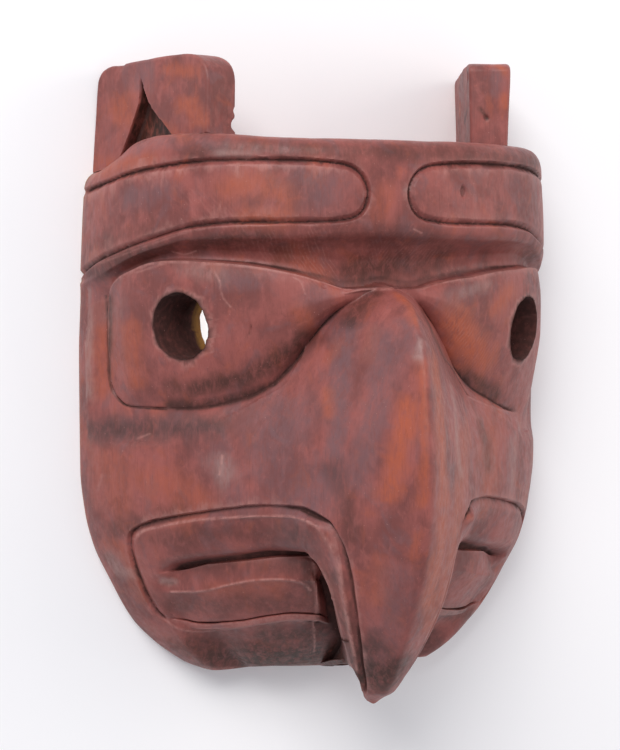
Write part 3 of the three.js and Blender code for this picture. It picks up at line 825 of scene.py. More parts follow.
def apply_modifiers(piece):
    """Turns the piece's modifiers into its mesh."""
    bpy.context.view_layer.update()
    graph = bpy.context.evaluated_depsgraph_get()
    finished = bpy.data.meshes.new_from_object(piece.evaluated_get(graph))
    piece.modifiers.clear()
    old = piece.data
    piece.data = finished
    bpy.data.meshes.remove(old)
    finished.name = piece.name


def cut_away(piece, cutters):
    """Cuts the closed cutters out of the piece and deletes them."""
    for cutter in cutters:
        cut = piece.modifiers.new("cut", "BOOLEAN")
        cut.operation = "DIFFERENCE"
        cut.solver = "MANIFOLD"
        cut.object = cutter
        apply_modifiers(piece)
        if not piece.data.polygons:
            raise RuntimeError(f"cutting {cutter.name} out of {piece.name} left nothing")
        bpy.data.objects.remove(cutter)


def thin_out(piece, triangles):
    """Lowers the piece to about that many triangles, keeping them where the surface bends."""
    count = sum(len(face.vertices) - 2 for face in piece.data.polygons)
    if count > triangles:
        thinner = piece.modifiers.new("thin", "DECIMATE")
        thinner.ratio = triangles / count
        apply_modifiers(piece)


def drop_slivers(piece):
    """Removes the faces without area that cutting and thinning can leave."""
    mesh = bmesh.new()
    mesh.from_mesh(piece.data)
    bmesh.ops.remove_doubles(mesh, verts=mesh.verts, dist=SLIVER * MM)
    bmesh.ops.dissolve_degenerate(mesh, edges=mesh.edges, dist=SLIVER * MM)
    bmesh.ops.triangulate(mesh, faces=mesh.faces)
    mesh.to_mesh(piece.data)
    mesh.free()
    piece.data.validate()


def soften(piece):
    """Smooth shading, but for true corners."""
    piece.data.shade_smooth()
    piece.data.set_sharp_from_angle(angle=math.radians(CORNER_ANGLE))


# Wear and stain, with painted shade, sheen and highlights, kept in the mesh for the finish to read

def neighbour_mean(values, edges, count):
    """Each vertex's mean over its neighbours."""
    total = np.zeros_like(values)
    for near, far in ((0, 1), (1, 0)):
        for k in range(values.shape[1]):
            total[:, k] += np.bincount(edges[:, near], values[edges[:, far], k], len(values))
    return total / count[:, None]


def hollowness(mesh, rounds):
    """How far each vertex lies below (+) or above (-) the surface around it, in millimetres."""
    edges = read_rows(mesh.edges, "vertices", 2, np.int32)
    place = vertex_places(mesh) / MM
    count = np.maximum(np.bincount(edges.ravel(), minlength=len(place)), 1)
    smoothed = place
    for _ in range(rounds):
        smoothed = lerp(smoothed, neighbour_mean(smoothed, edges, count), 0.6)
    below = np.einsum("ij,ij->i", smoothed - place, vertex_normals(mesh))
    for _ in range(2):
        below = lerp(below, neighbour_mean(below[:, None], edges, count)[:, 0], 0.5)
    return below


def store(mesh, name, values):
    """Keeps one number a vertex, from 0 to 1, for the finish."""
    layer = mesh.attributes.new(name, "FLOAT", "POINT")
    layer.data.foreach_set("value", np.clip(values, 0, 1).astype(np.float32))


def brushed(points, strokes):
    """Soft brush strokes with broken edges: half width, strength, then the path in X and height."""
    total = np.zeros(len(points))
    flat = points[:, :2]
    spread = (1 + 0.45 * smooth_noise(points, (5, 7, 5), 51)
              + 0.2 * smooth_noise(points, (2, 4, 2), 52))
    for half, strength, *path in strokes:
        line = np.array(path, float)
        reach = 2.4 * half
        near = np.all((flat > line.min(0) - reach) & (flat < line.max(0) + reach), axis=1)
        gap = distance_to_line(flat[near], line)[0] / (half * spread[near])
        total[near] = np.maximum(total[near], strength * (1 - fade(gap, 0.1, 1.6)))
    return total * (points[:, 2] > IN_FRONT)


# Where hands wore the stain thin
WORN = (
    (2, 0.9, (-25, 119), (-26, 116), (-26, 111)), (1.6, 0.6, (-19, 138), (-22, 134), (-24, 131)),
    (3.3, 0.9, (-6, 116), (-9, 97), (-12, 82)), (2, 0.5, (-11, 142), (-14, 131)),
    (2, 0.75, (-1, 131), (-2, 112), (-2, 80)), (2, 0.8, (0, 155), (2, 151), (0, 146)),
    (5, 1, (9, 130), (8, 116), (8, 98), (9, 80)), (4.5, 0.85, (9, 72), (9, 55), (8, 40)),
    (6, 0.65, (28, 100), (24, 78), (17, 50), (13, 32)), (9, 0.5, (52, 100), (48, 80)),
    (2, 0.5, (-3, 68), (-4, 60)), (8.2, 0.95, (30, 147), (37, 138), (48, 129)),
    (3.7, 0.7, (61, 157), (56, 153), (51, 149)), (2.9, 0.6, (-88, 144), (-88, 133), (-85, 121)),
    (3.3, 0.6, (-94, 151), (-94, 136), (-94, 118)), (5.7, 0.4, (-93, 90), (-89, 73)),
    (6.5, 0.45, (-81, 83), (-66, 77)), (4.1, 0.5, (-33, 149), (-30, 145)),
    (5.7, 0.6, (-58, 197), (-48, 197), (-40, 194)), (4.9, 0.6, (-52, 185), (-40, 186)),
    (2.9, 0.6, (-94, 204), (-91, 206), (-84, 208)), (4.1, 0.4, (-4, 186), (-1, 195)),
    (4.9, 0.5, (-35, 171), (-22, 164)), (3.3, 0.4, (-13, 57), (-12, 42)),
    (2.4, 0.4, (-88, 56), (-78, 33)), (4.1, 0.35, (-56, 40), (-35, 43)),
    (3, 0.7, (-73, 243), (-69, 241)), (4, 0.6, (-85, 232), (-86, 226)),
    (3, 0.7, (-69, 229), (-66, 222)), (2.5, 0.6, (-76, 222), (-72, 216)),
    (1.6, 0.8, (59, 247), (60, 244)), (1.5, 0.8, (60, 235), (60, 231)),
)
# Where old wax has turned the stain a smoky grey-violet, and a painted sheen on the beak and
# cheeks, with painted shade in the cove under the left eye
SMOKY_WAX_SHEEN_AND_SHADE = (
    (2.9, 0.8, (-16, 144), (-21, 127), (-24, 108), (-26, 96)),
    (4.4, 0.7, (-9, 140), (-13, 121), (-17, 103), (-20, 86)), (2, 0.6, (-4, 145), (-3, 136)),
    (8.2, 0.65, (-27, 89), (-31, 82), (-35, 76)), (6.5, 0.5, (-59, 96), (-58, 85), (-53, 77)),
    (9, 0.6, (-36, 112), (-43, 101), (-46, 89)),
    (4.9, 0.6, (-96, 102), (-86, 104), (-74, 105), (-64, 104)), (3.7, 0.55, (-59, 160), (-49, 160)),
    (3.3, 0.5, (-32, 154), (-26, 157)), (7.3, 0.6, (-32, 200), (-24, 198), (-27, 191)),
    (4.1, 0.55, (-87, 192), (-79, 196)), (4.9, 0.5, (-97, 163), (-95, 153), (-93, 148)),
    (5.7, 0.5, (-8, 52), (-7, 34), (-6, 20)), (4.1, 0.5, (-37, 64), (-34, 61)),
    (2.9, 0.45, (8, 180), (15, 178)), (4.9, 0.5, (38, 157), (28, 154)),
    (3.7, 0.45, (67, 96), (66, 76)), (2.4, 0.4, (-1, 140), (-2, 132)),
    (3, 0.6, (-80, 246), (-80, 238)), (2.5, 0.6, (58, 243), (57, 237)),
)
# Where the stain pooled dark, and painted shade: in the brow's hollow, round the eyes and in the
# coves below them, beside the beak, under the lower lip and on the chin
POOLED_STAIN_AND_SHADE = (
    (2.4, 0.7, (-6, 157), (-12, 151), (-16, 145)), (2, 0.7, (15, 149), (16, 140), (25, 130)),
    (4.1, 0.75, (42, 123), (50, 119), (59, 115)), (3.7, 0.5, (45, 104), (48, 96), (50, 87)),
    (4.9, 0.8, (-66, 120), (-50, 124), (-37, 133), (-31, 139)),
    (2, 0.8, (-74, 113), (-63, 114), (-51, 117), (-44, 120)), (3.3, 0.6, (-74, 121), (-72, 119)),
    (3.7, 0.5, (-43, 175), (-37, 172), (-37, 170)), (6.5, 0.75, (-12, 166), (-4, 165), (5, 166)),
    (6.5, 0.6, (10, 168), (19, 166), (26, 170)), (4.5, 0.6, (-66, 175), (-54, 177), (-44, 177)),
    (4.1, 0.65, (-95, 165), (-88, 171), (-77, 173)), (5.7, 0.3, (-34, 177), (-3, 178), (23, 177)),
    (3.7, 0.5, (-58, 211), (-34, 211), (-4, 210), (27, 211), (80, 208)),
    (4.9, 0.5, (-23, 210), (-15, 209)), (6.5, 0.7, (-59, 14), (-36, 12), (-10, 16)),
    (7, 0.9, (-50, 8), (-20, 10), (0, 14)), (6, 0.8, (-34, 18), (-11, 21)),
    (4.1, 0.5, (-89, 62), (-72, 72)), (3.3, 0.6, (-26, 50), (-24, 40), (-17, 29)),
    (2, 0.5, (-19, 41), (-15, 25), (-9, 10)), (4.1, 0.5, (-10, 26), (-4, 5)),
    (3.3, 0.4, (-26, 91), (-23, 80), (-21, 65)), (3.3, 0.4, (-96, 175), (-91, 179), (-83, 181)),
    (3.3, 0.2, (23, 177), (50, 175), (79, 172)), (3.7, 0.6, (43, 25), (63, 20)),
    (7, 0.6, (20, 12), (44, 10)), (1, 0.8, (51, 230), (54, 226)),
    (5.4, 0.62, (-96, 101.5), (-86, 102.5), (-74, 104), (-62, 105)),
    (5, 0.5, (-66, 33), (-45, 34), (-26, 34)), (5, 0.35, (-80, 60), (-55, 64), (-34, 64)),
    (4, 0.35, (-60, 50), (-30, 50)), (11, 1, (-34, 8), (-6, 10)), (3, 0.45, (-70, 209), (-50, 211)),
)
# Painted highlights, where the light catches the wax pale
PAINTED_HIGHLIGHTS = (
    (2, 0.5, (24, 120), (22, 101), (25, 87)), (1.2, 0.6, (0, 139), (-2, 133)),
    (3.3, 0.35, (70, 96), (67, 76)), (1.6, 0.5, (-98, 157), (-98, 137), (-98, 115)),
    (4.1, 0.45, (-59, 92), (-58, 86)), (3.3, 0.5, (-90, 49), (-85, 44)),
    (2, 0.6, (-73, 42), (-69, 42)), (1.6, 0.5, (-62, 209), (-52, 208)),
    (1.2, 0.5, (3, 197), (8, 196)), (3.7, 0.3, (-70, 165), (-63, 163)),
    (2.4, 0.3, (35, 156), (48, 160)),
)
# Where the knife left faint hatching
HATCHED = ((5, 0.8, (-48, 175), (-42, 174)), (7, 1, (-30, 173), (-22, 165)),
           (6, 0.5, (-4, 172), (28, 174)), (8, 0.9, (32, 144), (52, 128)),
           (7, 0.4, (-58, 180), (-70, 190)))


# The foot of the brow's hollow above the beak, where the painted shade of hollows is lessened so
# that it stays lighter than a groove
BROW_FOOT = ((-30, 161.5), (-12, 159.5), (0, 159), (12, 159.5), (30, 162), (50, 165))


def keep_wear_and_painted_light(mesh, sizes, slit=()):
    """Stores where the wood is worn, hatched and bare, where the stain pooled, and where shade,
    sheen and highlights are painted on.
    """
    points = above_chin(mesh)
    # The pale strokes are painted highlights; the smoky strokes are partly a painted sheen and
    # shade.
    for name, strokes in (("worn", WORN), ("smoky", SMOKY_WAX_SHEEN_AND_SHADE), ("pale", PAINTED_HIGHLIGHTS), ("hatched", HATCHED)):
        store(mesh, name, brushed(points, strokes))
    marks = [(light, near_path(points, 1.2 * half, path)) for half, _, light, *path in TOOL_LINES]
    rubbed_and_highlit = sum(max(light, 0) * share for light, share in marks)
    # Dark lines along creases, partly painted shade
    dark_lines = sum(max(-light, 0) * share for light, share in marks)
    # Painted shade inside the ear's wedge
    if slit:
        dark_lines = np.maximum(dark_lines, slit_shade(points, sizes, *slit))
    # Pooled stain, and painted shade under overhangs and in recesses
    store(mesh, "dark", np.maximum(brushed(points, POOLED_STAIN_AND_SHADE), dark_lines))
    # Painted highlight, partly wear: raised lines and convex edges are made lighter.
    store(mesh, "rubbed_and_highlit", np.maximum(rubbed_and_highlit, 0.55 * fade(-hollowness(mesh, 3), 0.06, 0.24)))
    # Painted shade: vertices that lie below the surface around them are darkened, less at the
    # brow's foot, and so are the eye holes' walls.
    narrow, broad = hollowness(mesh, 10), hollowness(mesh, 60)
    sunk_shade = 0.95 * fade(narrow, 0.06, 0.42) + 0.3 * fade(broad, 0.4, 1.8)
    sunk_shade *= 1 - 0.6 * near_path(points, 7, BROW_FOOT)
    store(mesh, "sunk_shade", np.maximum(sunk_shade * (1 - rubbed_and_highlit), in_eye_holes(points, sizes)))
    store(mesh, "bare", bare_wood(points, vertex_normals(mesh), sizes))


def slit_shade(points, sizes, side, outward, turn):
    """1 inside an ear's wedge: painted shade in the recess."""
    back = math.radians(turn)
    x, z = points[:, 0] - side * outward, points[:, 2] - EAR_FRONT
    along = side * math.sin(back) * x - math.cos(back) * z
    deep = -side * math.cos(back) * x - math.sin(back) * z
    flat = np.stack([along, points[:, 1]], axis=-1)
    beside = distance_to_line(flat, np.array([*SLIT, SLIT[0]], float))[0] < 0.9
    within = is_within(along, points[:, 1], SLIT) | beside
    return within * fade(deep, 0.5, 1.6) * (deep < sizes.slit_depth / MM + 1.5)


def in_eye_holes(points, sizes):
    """1 on the walls of the eye holes, darkened partly as stain that ran in and partly as painted
    shade.
    """
    inside = np.zeros(len(points))
    bore = sizes.hole_radius / MM
    for side, narrow, aside, above in EYE_HOLES:
        middle, axes = hole_frame(sizes, side, aside, above)
        local = (points - middle) @ axes.T
        from_axis = np.hypot(local[:, 0] / narrow, local[:, 1]) / bore
        inside += (1 - fade(from_axis, 1.02, 1.07)) * (points[:, 0] * side > 20)
    return inside


def bare_wood(points, normals, sizes):
    """The back, the hollow and the inner ends of the eye holes never took the stain."""
    x, y, z = points.T
    rim, wall = sizes.rim_width / MM, sizes.front_wall / MM
    spare = 1.5    # the gouge marks reach that far into the walls
    shape = [np.abs(x / (half_width(y) - rim + spare)), np.abs(z / (face_depth(y) - wall + spare))]
    inside = shape[0] ** HOLLOW_SQUARENESS + shape[1] ** HOLLOW_SQUARENESS < 1
    inside &= (y > HOLLOW_FOOT - 2 * spare) & (y < HOLLOW_TOP + 2 * spare)
    back = (z < 0.3) & (normals[:, 2] < -0.5)
    return np.where(inside | back, 1.0, 0.0)


# Finishes

def linear(code):
    """A linear colour from an sRGB hex value."""
    colour = []
    for i in (0, 2, 4):
        share = int(code[i:i + 2], 16) / 255
        colour.append(share / 12.92 if share <= 0.04045 else ((share + 0.055) / 1.055) ** 2.4)
    return (*colour, 1.0)


def add_node(tree, kind, inputs=None, **settings):
    """Adds a node with its settings, and gives each input a value or the output that feeds it."""
    made = tree.nodes.new(kind)
    for name, value in settings.items():
        setattr(made, name, value)
    for socket, value in (inputs or {}).items():
        if isinstance(value, bpy.types.NodeSocket):
            tree.links.new(value, made.inputs[socket])
        else:
            made.inputs[socket].default_value = value
    return made


def new_material(name):
    """An empty node material and its tree."""
    material = bpy.data.materials.new(name)
    material.use_nodes = True
    material.node_tree.nodes.clear()
    return material, material.node_tree


# Patterns in the stain: the size of their marks along X, Y and Z in millimetres, then the noise's
# detail, roughness and distortion
PATTERNS = {
    "blotch": ((18, 24, 18), 4, 0.6, 0.4),           # how much stain the wood took
    "tinge": ((11, 14, 11), 3, 0.6, 0.6),            # drifts towards orange and violet
    "mottle": ((4.5, 7, 4.5), 4, 0.65, 0.5),         # small patches that took less stain
    "streak": ((2.6, 22, 2.6), 3, 0.6, 0.3),         # year rings cut lengthwise
    # Real fibres are a few hundredths of a millimetre wide: these are drawn coarse enough to show.
    "fibre": ((0.5, 11, 0.5), 3, 0.6, 0),
    "cloud": ((2.4, 3.6, 2.4), 4, 0.65, 0),          # where a rub or dust caught
    "brushing": ((2.4, 6, 2.4), 4, 0.7, 0.5),        # broken edges of brush strokes
    "speck": ((0.8, 0.8, 0.8), 1, 0.55, 0),          # pale nicks
}
HATCH_GAP = 1.3    # millimetres from one stroke of the knife to the next

# Coats of colour from the lowest up: the colour, then the factors of its cover. A factor is wear or
# painted light and shade that the mesh keeps, or the stretch of a pattern between two values,
# spread over two shares.
BROKEN = ("brushing", 0.3, 0.62, 0.4, 1)    # as thin and uneven as a dry brush leaves a coat
STAIN_COATS = (
    ("stain", ("blotch", 0.36, 0.64, 0, 1)),
    ("stain_light", ("mottle", 0.46, 0.72, 0, 0.5)),
    ("stain_worn", ("tinge", 0.54, 0.72, 0, 0.36)),
    ("smoky_wax_sheen_and_shade", ("tinge", 0.46, 0.3, 0, 0.42)),
    ("stain_deep", ("streak", 0.5, 0.74, 0, 0.35)),
    ("stain_worn", "worn", BROKEN),
    # Smoky wax, with a painted sheen and painted shade
    ("smoky_wax_sheen_and_shade", "smoky", BROKEN),
    # Pooled stain and painted shade
    ("stain_dark_and_shade", "dark", BROKEN),
    # Painted highlights
    ("painted_highlight", "pale", BROKEN),
    ("rubbed_and_highlit", "hatched", ("hatching", 0.5, 0.95, 0, 1), ("cloud", 0.38, 0.62, 0, 0.24)),
    # Partly painted highlights on convex edges and raised lines
    ("rubbed_and_highlit", "rubbed_and_highlit", ("cloud", 0.32, 0.62, 0.2, 0.85)),
    # Painted shade in grooves and hollows
    ("groove", "sunk_shade", ("cloud", 0.25, 0.6, 0.7, 0.95)),
    ("stain_dark_and_shade", ("fibre", 0.5, 0.75, 0, 0.2)),
    ("rubbed_and_highlit", ("speck", 0.75, 0.8, 0, 0.5)),
)
BARE_COATS = (
    ("bare_wood_dark", ("streak", 0.4, 0.65, 0, 1)),
    ("bare_wood_dark", ("fibre", 0.45, 0.75, 0, 0.5)),
)


def knife_hatching(tree, place):
    """A pattern of slanting strokes, mirrored about the middle of the face."""
    parts = add_node(tree, "ShaderNodeSeparateXYZ", {"Vector": place}).outputs
    aside = add_node(tree, "ShaderNodeMath", {0: parts["X"]}, operation="ABSOLUTE").outputs["Value"]
    folded = add_node(tree, "ShaderNodeCombineXYZ", {"X": aside, "Y": parts["Y"]}).outputs["Vector"]
    leaning = add_node(tree, "ShaderNodeMapping",
                       {"Vector": folded, "Rotation": (0, 0, math.radians(35))})
    # At scale 1 the wave texture repeats every tenth of pi.
    wave = add_node(tree, "ShaderNodeTexWave",
                    {"Vector": leaning.outputs["Vector"], "Scale": math.pi / (10 * HATCH_GAP * MM),
                     "Distortion": 5, "Detail": 3, "Detail Scale": 0.6})
    return wave.outputs["Fac"]


def stained_alder(finish):
    """Carved alder under a red-brown wiping stain and a little wax, worn satin by handling.

    It gives the eye a mottled red-brown with faint fibres along the grain, dark where the stain
    pooled, orange where hands wore it thin, and smoky grey-violet where old wax lies. It also
    paints
    light and shade: painted shade in grooves, hollows and under the lip, a painted sheen on the
    beak and cheeks, and painted highlights on ridges and edges.
    """
    material, tree = new_material("stained_alder")
    place = add_node(tree, "ShaderNodeTexCoord").outputs["Object"]
    patterns = {"hatching": knife_hatching(tree, place)}
    for name, (marks, detail, roughness, distortion) in PATTERNS.items():
        scaled = add_node(tree, "ShaderNodeMapping",
                          {"Vector": place, "Scale": [1 / (size * MM) for size in marks]})
        noise = add_node(tree, "ShaderNodeTexNoise",
                         {"Vector": scaled.outputs["Vector"], "Scale": 1, "Detail": detail,
                          "Roughness": roughness, "Distortion": distortion})
        patterns[name] = noise.outputs["Fac"]

    def cover(*factors):
        """How strongly a coat covers: the product of its factors."""
        share = 1.0
        for factor in factors:
            if isinstance(factor, str):
                part = add_node(tree, "ShaderNodeAttribute", attribute_name=factor).outputs["Fac"]
            else:
                name, start, end, low, high = factor
                part = add_node(tree, "ShaderNodeMapRange",
                                {"Value": patterns[name], "From Min": start, "From Max": end,
                                 "To Min": low, "To Max": high},
                                interpolation_type="SMOOTHSTEP").outputs["Result"]
            product = add_node(tree, "ShaderNodeMath", {0: share, 1: part}, operation="MULTIPLY")
            share = product.outputs["Value"]
        return share

    def laid_over(under, colour, share):
        """The colour that shows where the upper one covers the one under it by that share."""
        blend = add_node(tree, "ShaderNodeMix", {6: under, 7: colour, "Factor": share},
                         data_type="RGBA")
        return blend.outputs[2]

    stain, bare = finish.stain_deep, finish.bare_wood
    for colour, *factors in STAIN_COATS:
        stain = laid_over(stain, getattr(finish, colour), cover(*factors))
    for colour, *factors in BARE_COATS:
        bare = laid_over(bare, getattr(finish, colour), cover(*factors))

    # The fibres stand up a few hundredths of a millimetre.
    height = add_node(tree, "ShaderNodeMath", {0: patterns["fibre"], 1: patterns["cloud"]},
                      operation="ADD")
    bump = add_node(tree, "ShaderNodeBump",
                    {"Height": height.outputs["Value"], "Strength": 0.25, "Distance": 0.25 * MM})
    # Deep cuts hold dust and look matt; the open surface is satin.
    dust = add_node(tree, "ShaderNodeMath", {0: cover("sunk_shade"), 1: 0.95}, operation="MULTIPLY")
    satin = cover(("cloud", 0.3, 0.7, 0.42, 0.6))
    dull = add_node(tree, "ShaderNodeMath", {0: satin, 1: dust.outputs["Value"]},
                    operation="MAXIMUM")
    shader = add_node(tree, "ShaderNodeBsdfPrincipled",
                      {"Base Color": laid_over(stain, bare, cover("bare")), "IOR": 1.5,
                       "Specular IOR Level": 0.4, "Roughness": dull.outputs["Value"],
                       "Normal": bump.outputs["Normal"]})
    add_node(tree, "ShaderNodeOutputMaterial", {"Surface": shader.outputs["BSDF"]})
    return material


def matt_paper(colour):
    """Seamless matt background paper: an even pale sweep with soft shadows and no gloss."""
    material, tree = new_material("matt_paper")
    shader = add_node(tree, "ShaderNodeBsdfPrincipled",
                      {"Base Color": colour, "Roughness": 0.9, "Specular IOR Level": 0.2})
    add_node(tree, "ShaderNodeOutputMaterial", {"Surface": shader.outputs["BSDF"]})
    return material


# The ears

# Node name, side, distance out, turn outward in degrees, rounding of the top front corner, and the
# taper: how far the outer and the inner face move at the foot, then at the top
EARS = (("left_ear", -1, 64, 25.4, 9, (0, 0, 0, 0)),
        ("right_ear", 1, 62, 18.5, 2, (0.8, -0.4, -1.2, 1.4)))

# The wedge cut into the ear's outer face, open at its foot: how far back from the front edge, and
# the height
SLIT = ((39.4, 244), (38.4, 240.5), (37.1, 236.9), (33.8, 230.4), (30, 226), (25.3, 222), (18, 215),
        (14, 205), (54, 205), (50.5, 211.5), (46.9, 217.5), (42.4, 225.7), (39.9, 231), (39.2, 236))

# Chips out of the ears: side, place in the slab's own plane, radius and depth
EAR_CHIPS = ((-1, (0, 221, 15), 3, 1.6), (-1, (0, 226.5, 15), 1.6, 0.8), (-1, (1, 216, 0), 2, 0.7),
             (1, (6, 243, 15), 3, 0.9), (1, (0, 247, 8), 2, 0.5), (1, (0, 226, 9), 1.6, 0.5),
             (1, (30, 248, 2), 4, 0.8), (-1, (52, 247, 0), 4, 0.6))


def bow(start, control, end):
    """Points on a curve from start to end, which runs towards the control point at both."""
    steps = 12
    t = np.linspace(0, 1, steps)[:, None]
    start, control, end = np.array(start), np.array(control), np.array(end)
    return lerp(lerp(start, control, t), lerp(control, end, t), t)


def ear_outline(rounding):
    """The slab's outline in its own plane: how far back from the front edge, and the height."""
    top = HIGHEST_POINT
    front = bow((0, top - rounding - 1.5), (0.5, top - 0.2), (rounding + 6, top))
    back = bow((57, 246.6), (65, 245.6), (65.6, 239.5))
    return np.concatenate([[(0, 198)], front, [(24, top), (31, top - 0.5), (46, top - 0.9)], back,
                           [(EAR_LENGTH, 206), (EAR_LENGTH, 198)]])


def prism(name, outline, low, high):
    """A solid with the given outline between two depths."""
    count = len(outline)
    points = [(x, y, z) for z in (low, high) for x, y in outline]
    sides = [(i, (i + 1) % count, count + (i + 1) % count, count + i) for i in range(count)]
    ends = [tuple(range(count))[::-1], tuple(range(count, 2 * count))]
    return new_object(name, points, ends + sides)


def round_edges(piece, width):
    """Rounds the piece's long edges."""
    bevel = piece.modifiers.new("edges", "BEVEL")
    bevel.width = width * MM
    bevel.segments = 4
    bevel.limit_method = "ANGLE"
    bevel.angle_limit = math.radians(35)
    apply_modifiers(piece)


def even_grid(piece, size):
    """Gives the piece evenly small faces, which the tool marks then move."""
    remesh = piece.modifiers.new("even", "REMESH")
    remesh.mode = "VOXEL"
    remesh.voxel_size = size * MM
    apply_modifiers(piece)


def work_ear(ear, side, taper):
    """Tapers the slab and adds the knife's facets and the chips."""
    points = above_chin(ear.data)
    thick = ear.dimensions.z / MM
    up = fade(points[:, 1], BAND_TOP - 30, HIGHEST_POINT + 30)
    outer, inner = lerp(taper[0], taper[2], up), lerp(taper[1], taper[3], up)
    points[:, 2] += lerp(outer, inner, points[:, 2] / thick)
    seed = 30 + side
    moved = 0.26 * smooth_noise(points, (16, 16, 16), seed)
    moved += 0.12 * smooth_noise(points, (6, 9, 6), seed + 2)
    moved += 0.05 * smooth_noise(points, (2.5, 5, 2.5), seed + 4)
    for chipped, place, radius, depth in EAR_CHIPS:
        gap = np.linalg.norm(points - place, axis=1) / radius
        moved -= depth * (1 - fade(gap, 0.4, 1)) * (chipped == side)
    points += vertex_normals(ear.data) * moved[:, None]
    ear.data.vertices.foreach_set("co", to_frame(points).astype(np.float32).ravel())
    ear.data.update()


def ear_place(side, outward, turn):
    """From the slab's own plane to its place: the outer face looks aside and a little forward."""
    back = math.radians(turn)
    sine, cosine = math.sin(back), math.cos(back)
    return Matrix(((side * sine, 0, -side * cosine, side * outward * MM),
                   (0, 1, 0, 0),
                   (-cosine, 0, -sine, EAR_FRONT * MM),
                   (0, 0, 0, 1)))


def behind_back():
    """The space behind the flat back."""
    return prism("behind", ((-150, 0), (150, 0), (150, 300), (-150, 300)), -60, 0)


# Stage

FLOOR_REACH = 3000    # millimetres from the middle to each side
ROOM_COLOUR, ROOM_STRENGTH = "F5F8FF", 0.54

# Name, place, aim, size, power in watts and colour, with lengths in metres in the frame. The last
# light makes the floor bright where it shows through an eye hole.
LIGHTS = (
    ("key", (-0.65, 0.95, 1.2), (0, 0, 0.05), 0.9, 19, "FFFCFA"),
    ("fill", (1.4, 0.2, 0.9), (0, 0, 0.05), 1.1, 7, "FFF2E8"),
    ("under", (-0.03, 0.02, 0.04), (-0.03, 0.0201, 0), 0.03, 0.022, "FFFFFF"),
)


def hang_light(name, place, aim, size, power, code):
    """A square soft light that looks at its aim."""
    data = bpy.data.lights.new(name, "AREA")
    data.size = size
    data.energy = power
    data.color = linear(code)[:3]
    light = bpy.data.objects.new(name, data)
    light.location = place
    light.rotation_euler = (Vector(aim) - Vector(place)).to_track_quat("-Z", "Y").to_euler()
    bpy.context.scene.collection.objects.link(light)


def lay_floor(paper):
    """The pale floor that the mask lies on."""
    square = ((-1, -1), (1, -1), (1, 1), (-1, 1))
    corners = [(x * FLOOR_REACH, y * FLOOR_REACH, 0) for x, y in square]
    floor = new_object("floor", corners, [(0, 1, 2, 3)])
    floor.data.materials.append(paper)


def fill_room(scene):
    """Even light from all around, as in a white studio."""
    world = bpy.data.worlds.new("studio")
    scene.world = world
    world.use_nodes = True
    room = world.node_tree.nodes["Background"].inputs
    room["Color"].default_value = linear(ROOM_COLOUR)
    room["Strength"].default_value = ROOM_STRENGTH
    scene.view_settings.view_transform = "Standard"


def aim_camera(scene):
    """The photograph's view: a little from the mask's right and from above its middle."""
    turn, rise, distance, middle = math.radians(20), math.radians(2.5), 0.9, 121.5
    target = Vector(to_frame((0, middle, 0)))
    towards = Vector((-math.sin(turn) * math.cos(rise), math.sin(rise),
                      math.cos(turn) * math.cos(rise)))
    right = Vector((math.cos(turn), 0, math.sin(turn)))
    data = bpy.data.cameras.new("camera")
    data.lens = 102.9
    data.sensor_width = 36
    camera = bpy.data.objects.new("camera", data)
    camera.matrix_world = Matrix.Translation(target + towards * distance) @ Matrix(
        (right, towards.cross(right), towards)).transposed().to_4x4()
    scene.collection.objects.link(camera)
    scene.camera = camera


# The sizes and colours that a user would change

class BirdMaskSizes(bpy.types.PropertyGroup):
    """Sizes of the carving."""

    groove_width: bpy.props.FloatProperty(
        name="Groove width", description="Width of the V-shaped grooves",
        default=2.7 * MM, unit="LENGTH")
    groove_depth: bpy.props.FloatProperty(
        name="Groove depth", description="Depth of the V-shaped grooves",
        default=1.9 * MM, unit="LENGTH")
    hole_radius: bpy.props.FloatProperty(
        name="Eye hole radius", description="Radius of the bored eye holes",
        default=13.1 * MM, unit="LENGTH")
    hole_turn: bpy.props.FloatProperty(
        name="Eye hole turn", description="How far the eye holes turn to the side",
        default=math.radians(58), subtype="ANGLE")
    hole_place: bpy.props.FloatVectorProperty(
        name="Eye hole place", description="A point on the eye hole's axis, above the chin",
        default=(73.3 * MM, 143.6 * MM, 56 * MM), subtype="TRANSLATION", unit="LENGTH")
    rim_width: bpy.props.FloatProperty(
        name="Rim width", description="Wood between the outline and the hollow",
        default=24 * MM, unit="LENGTH")
    front_wall: bpy.props.FloatProperty(
        name="Front wall", description="Wood in front of the hollow",
        default=30 * MM, unit="LENGTH")
    gouge_mark: bpy.props.FloatProperty(
        name="Gouge mark", description="Size of the gouge marks inside",
        default=9 * MM, unit="LENGTH")
    ear_thickness: bpy.props.FloatProperty(
        name="Ear thickness", description="Thickness of the slab ears",
        default=15 * MM, unit="LENGTH")
    slit_depth: bpy.props.FloatProperty(
        name="Slit depth", description="Depth of the slit at the ear's foot",
        default=6 * MM, unit="LENGTH")


def colour_property(name, description, code):
    """A colour that a user can change, given as an sRGB hex value."""
    return bpy.props.FloatVectorProperty(name=name, description=description, default=linear(code),
                                         size=4, min=0, max=1, subtype="COLOR")


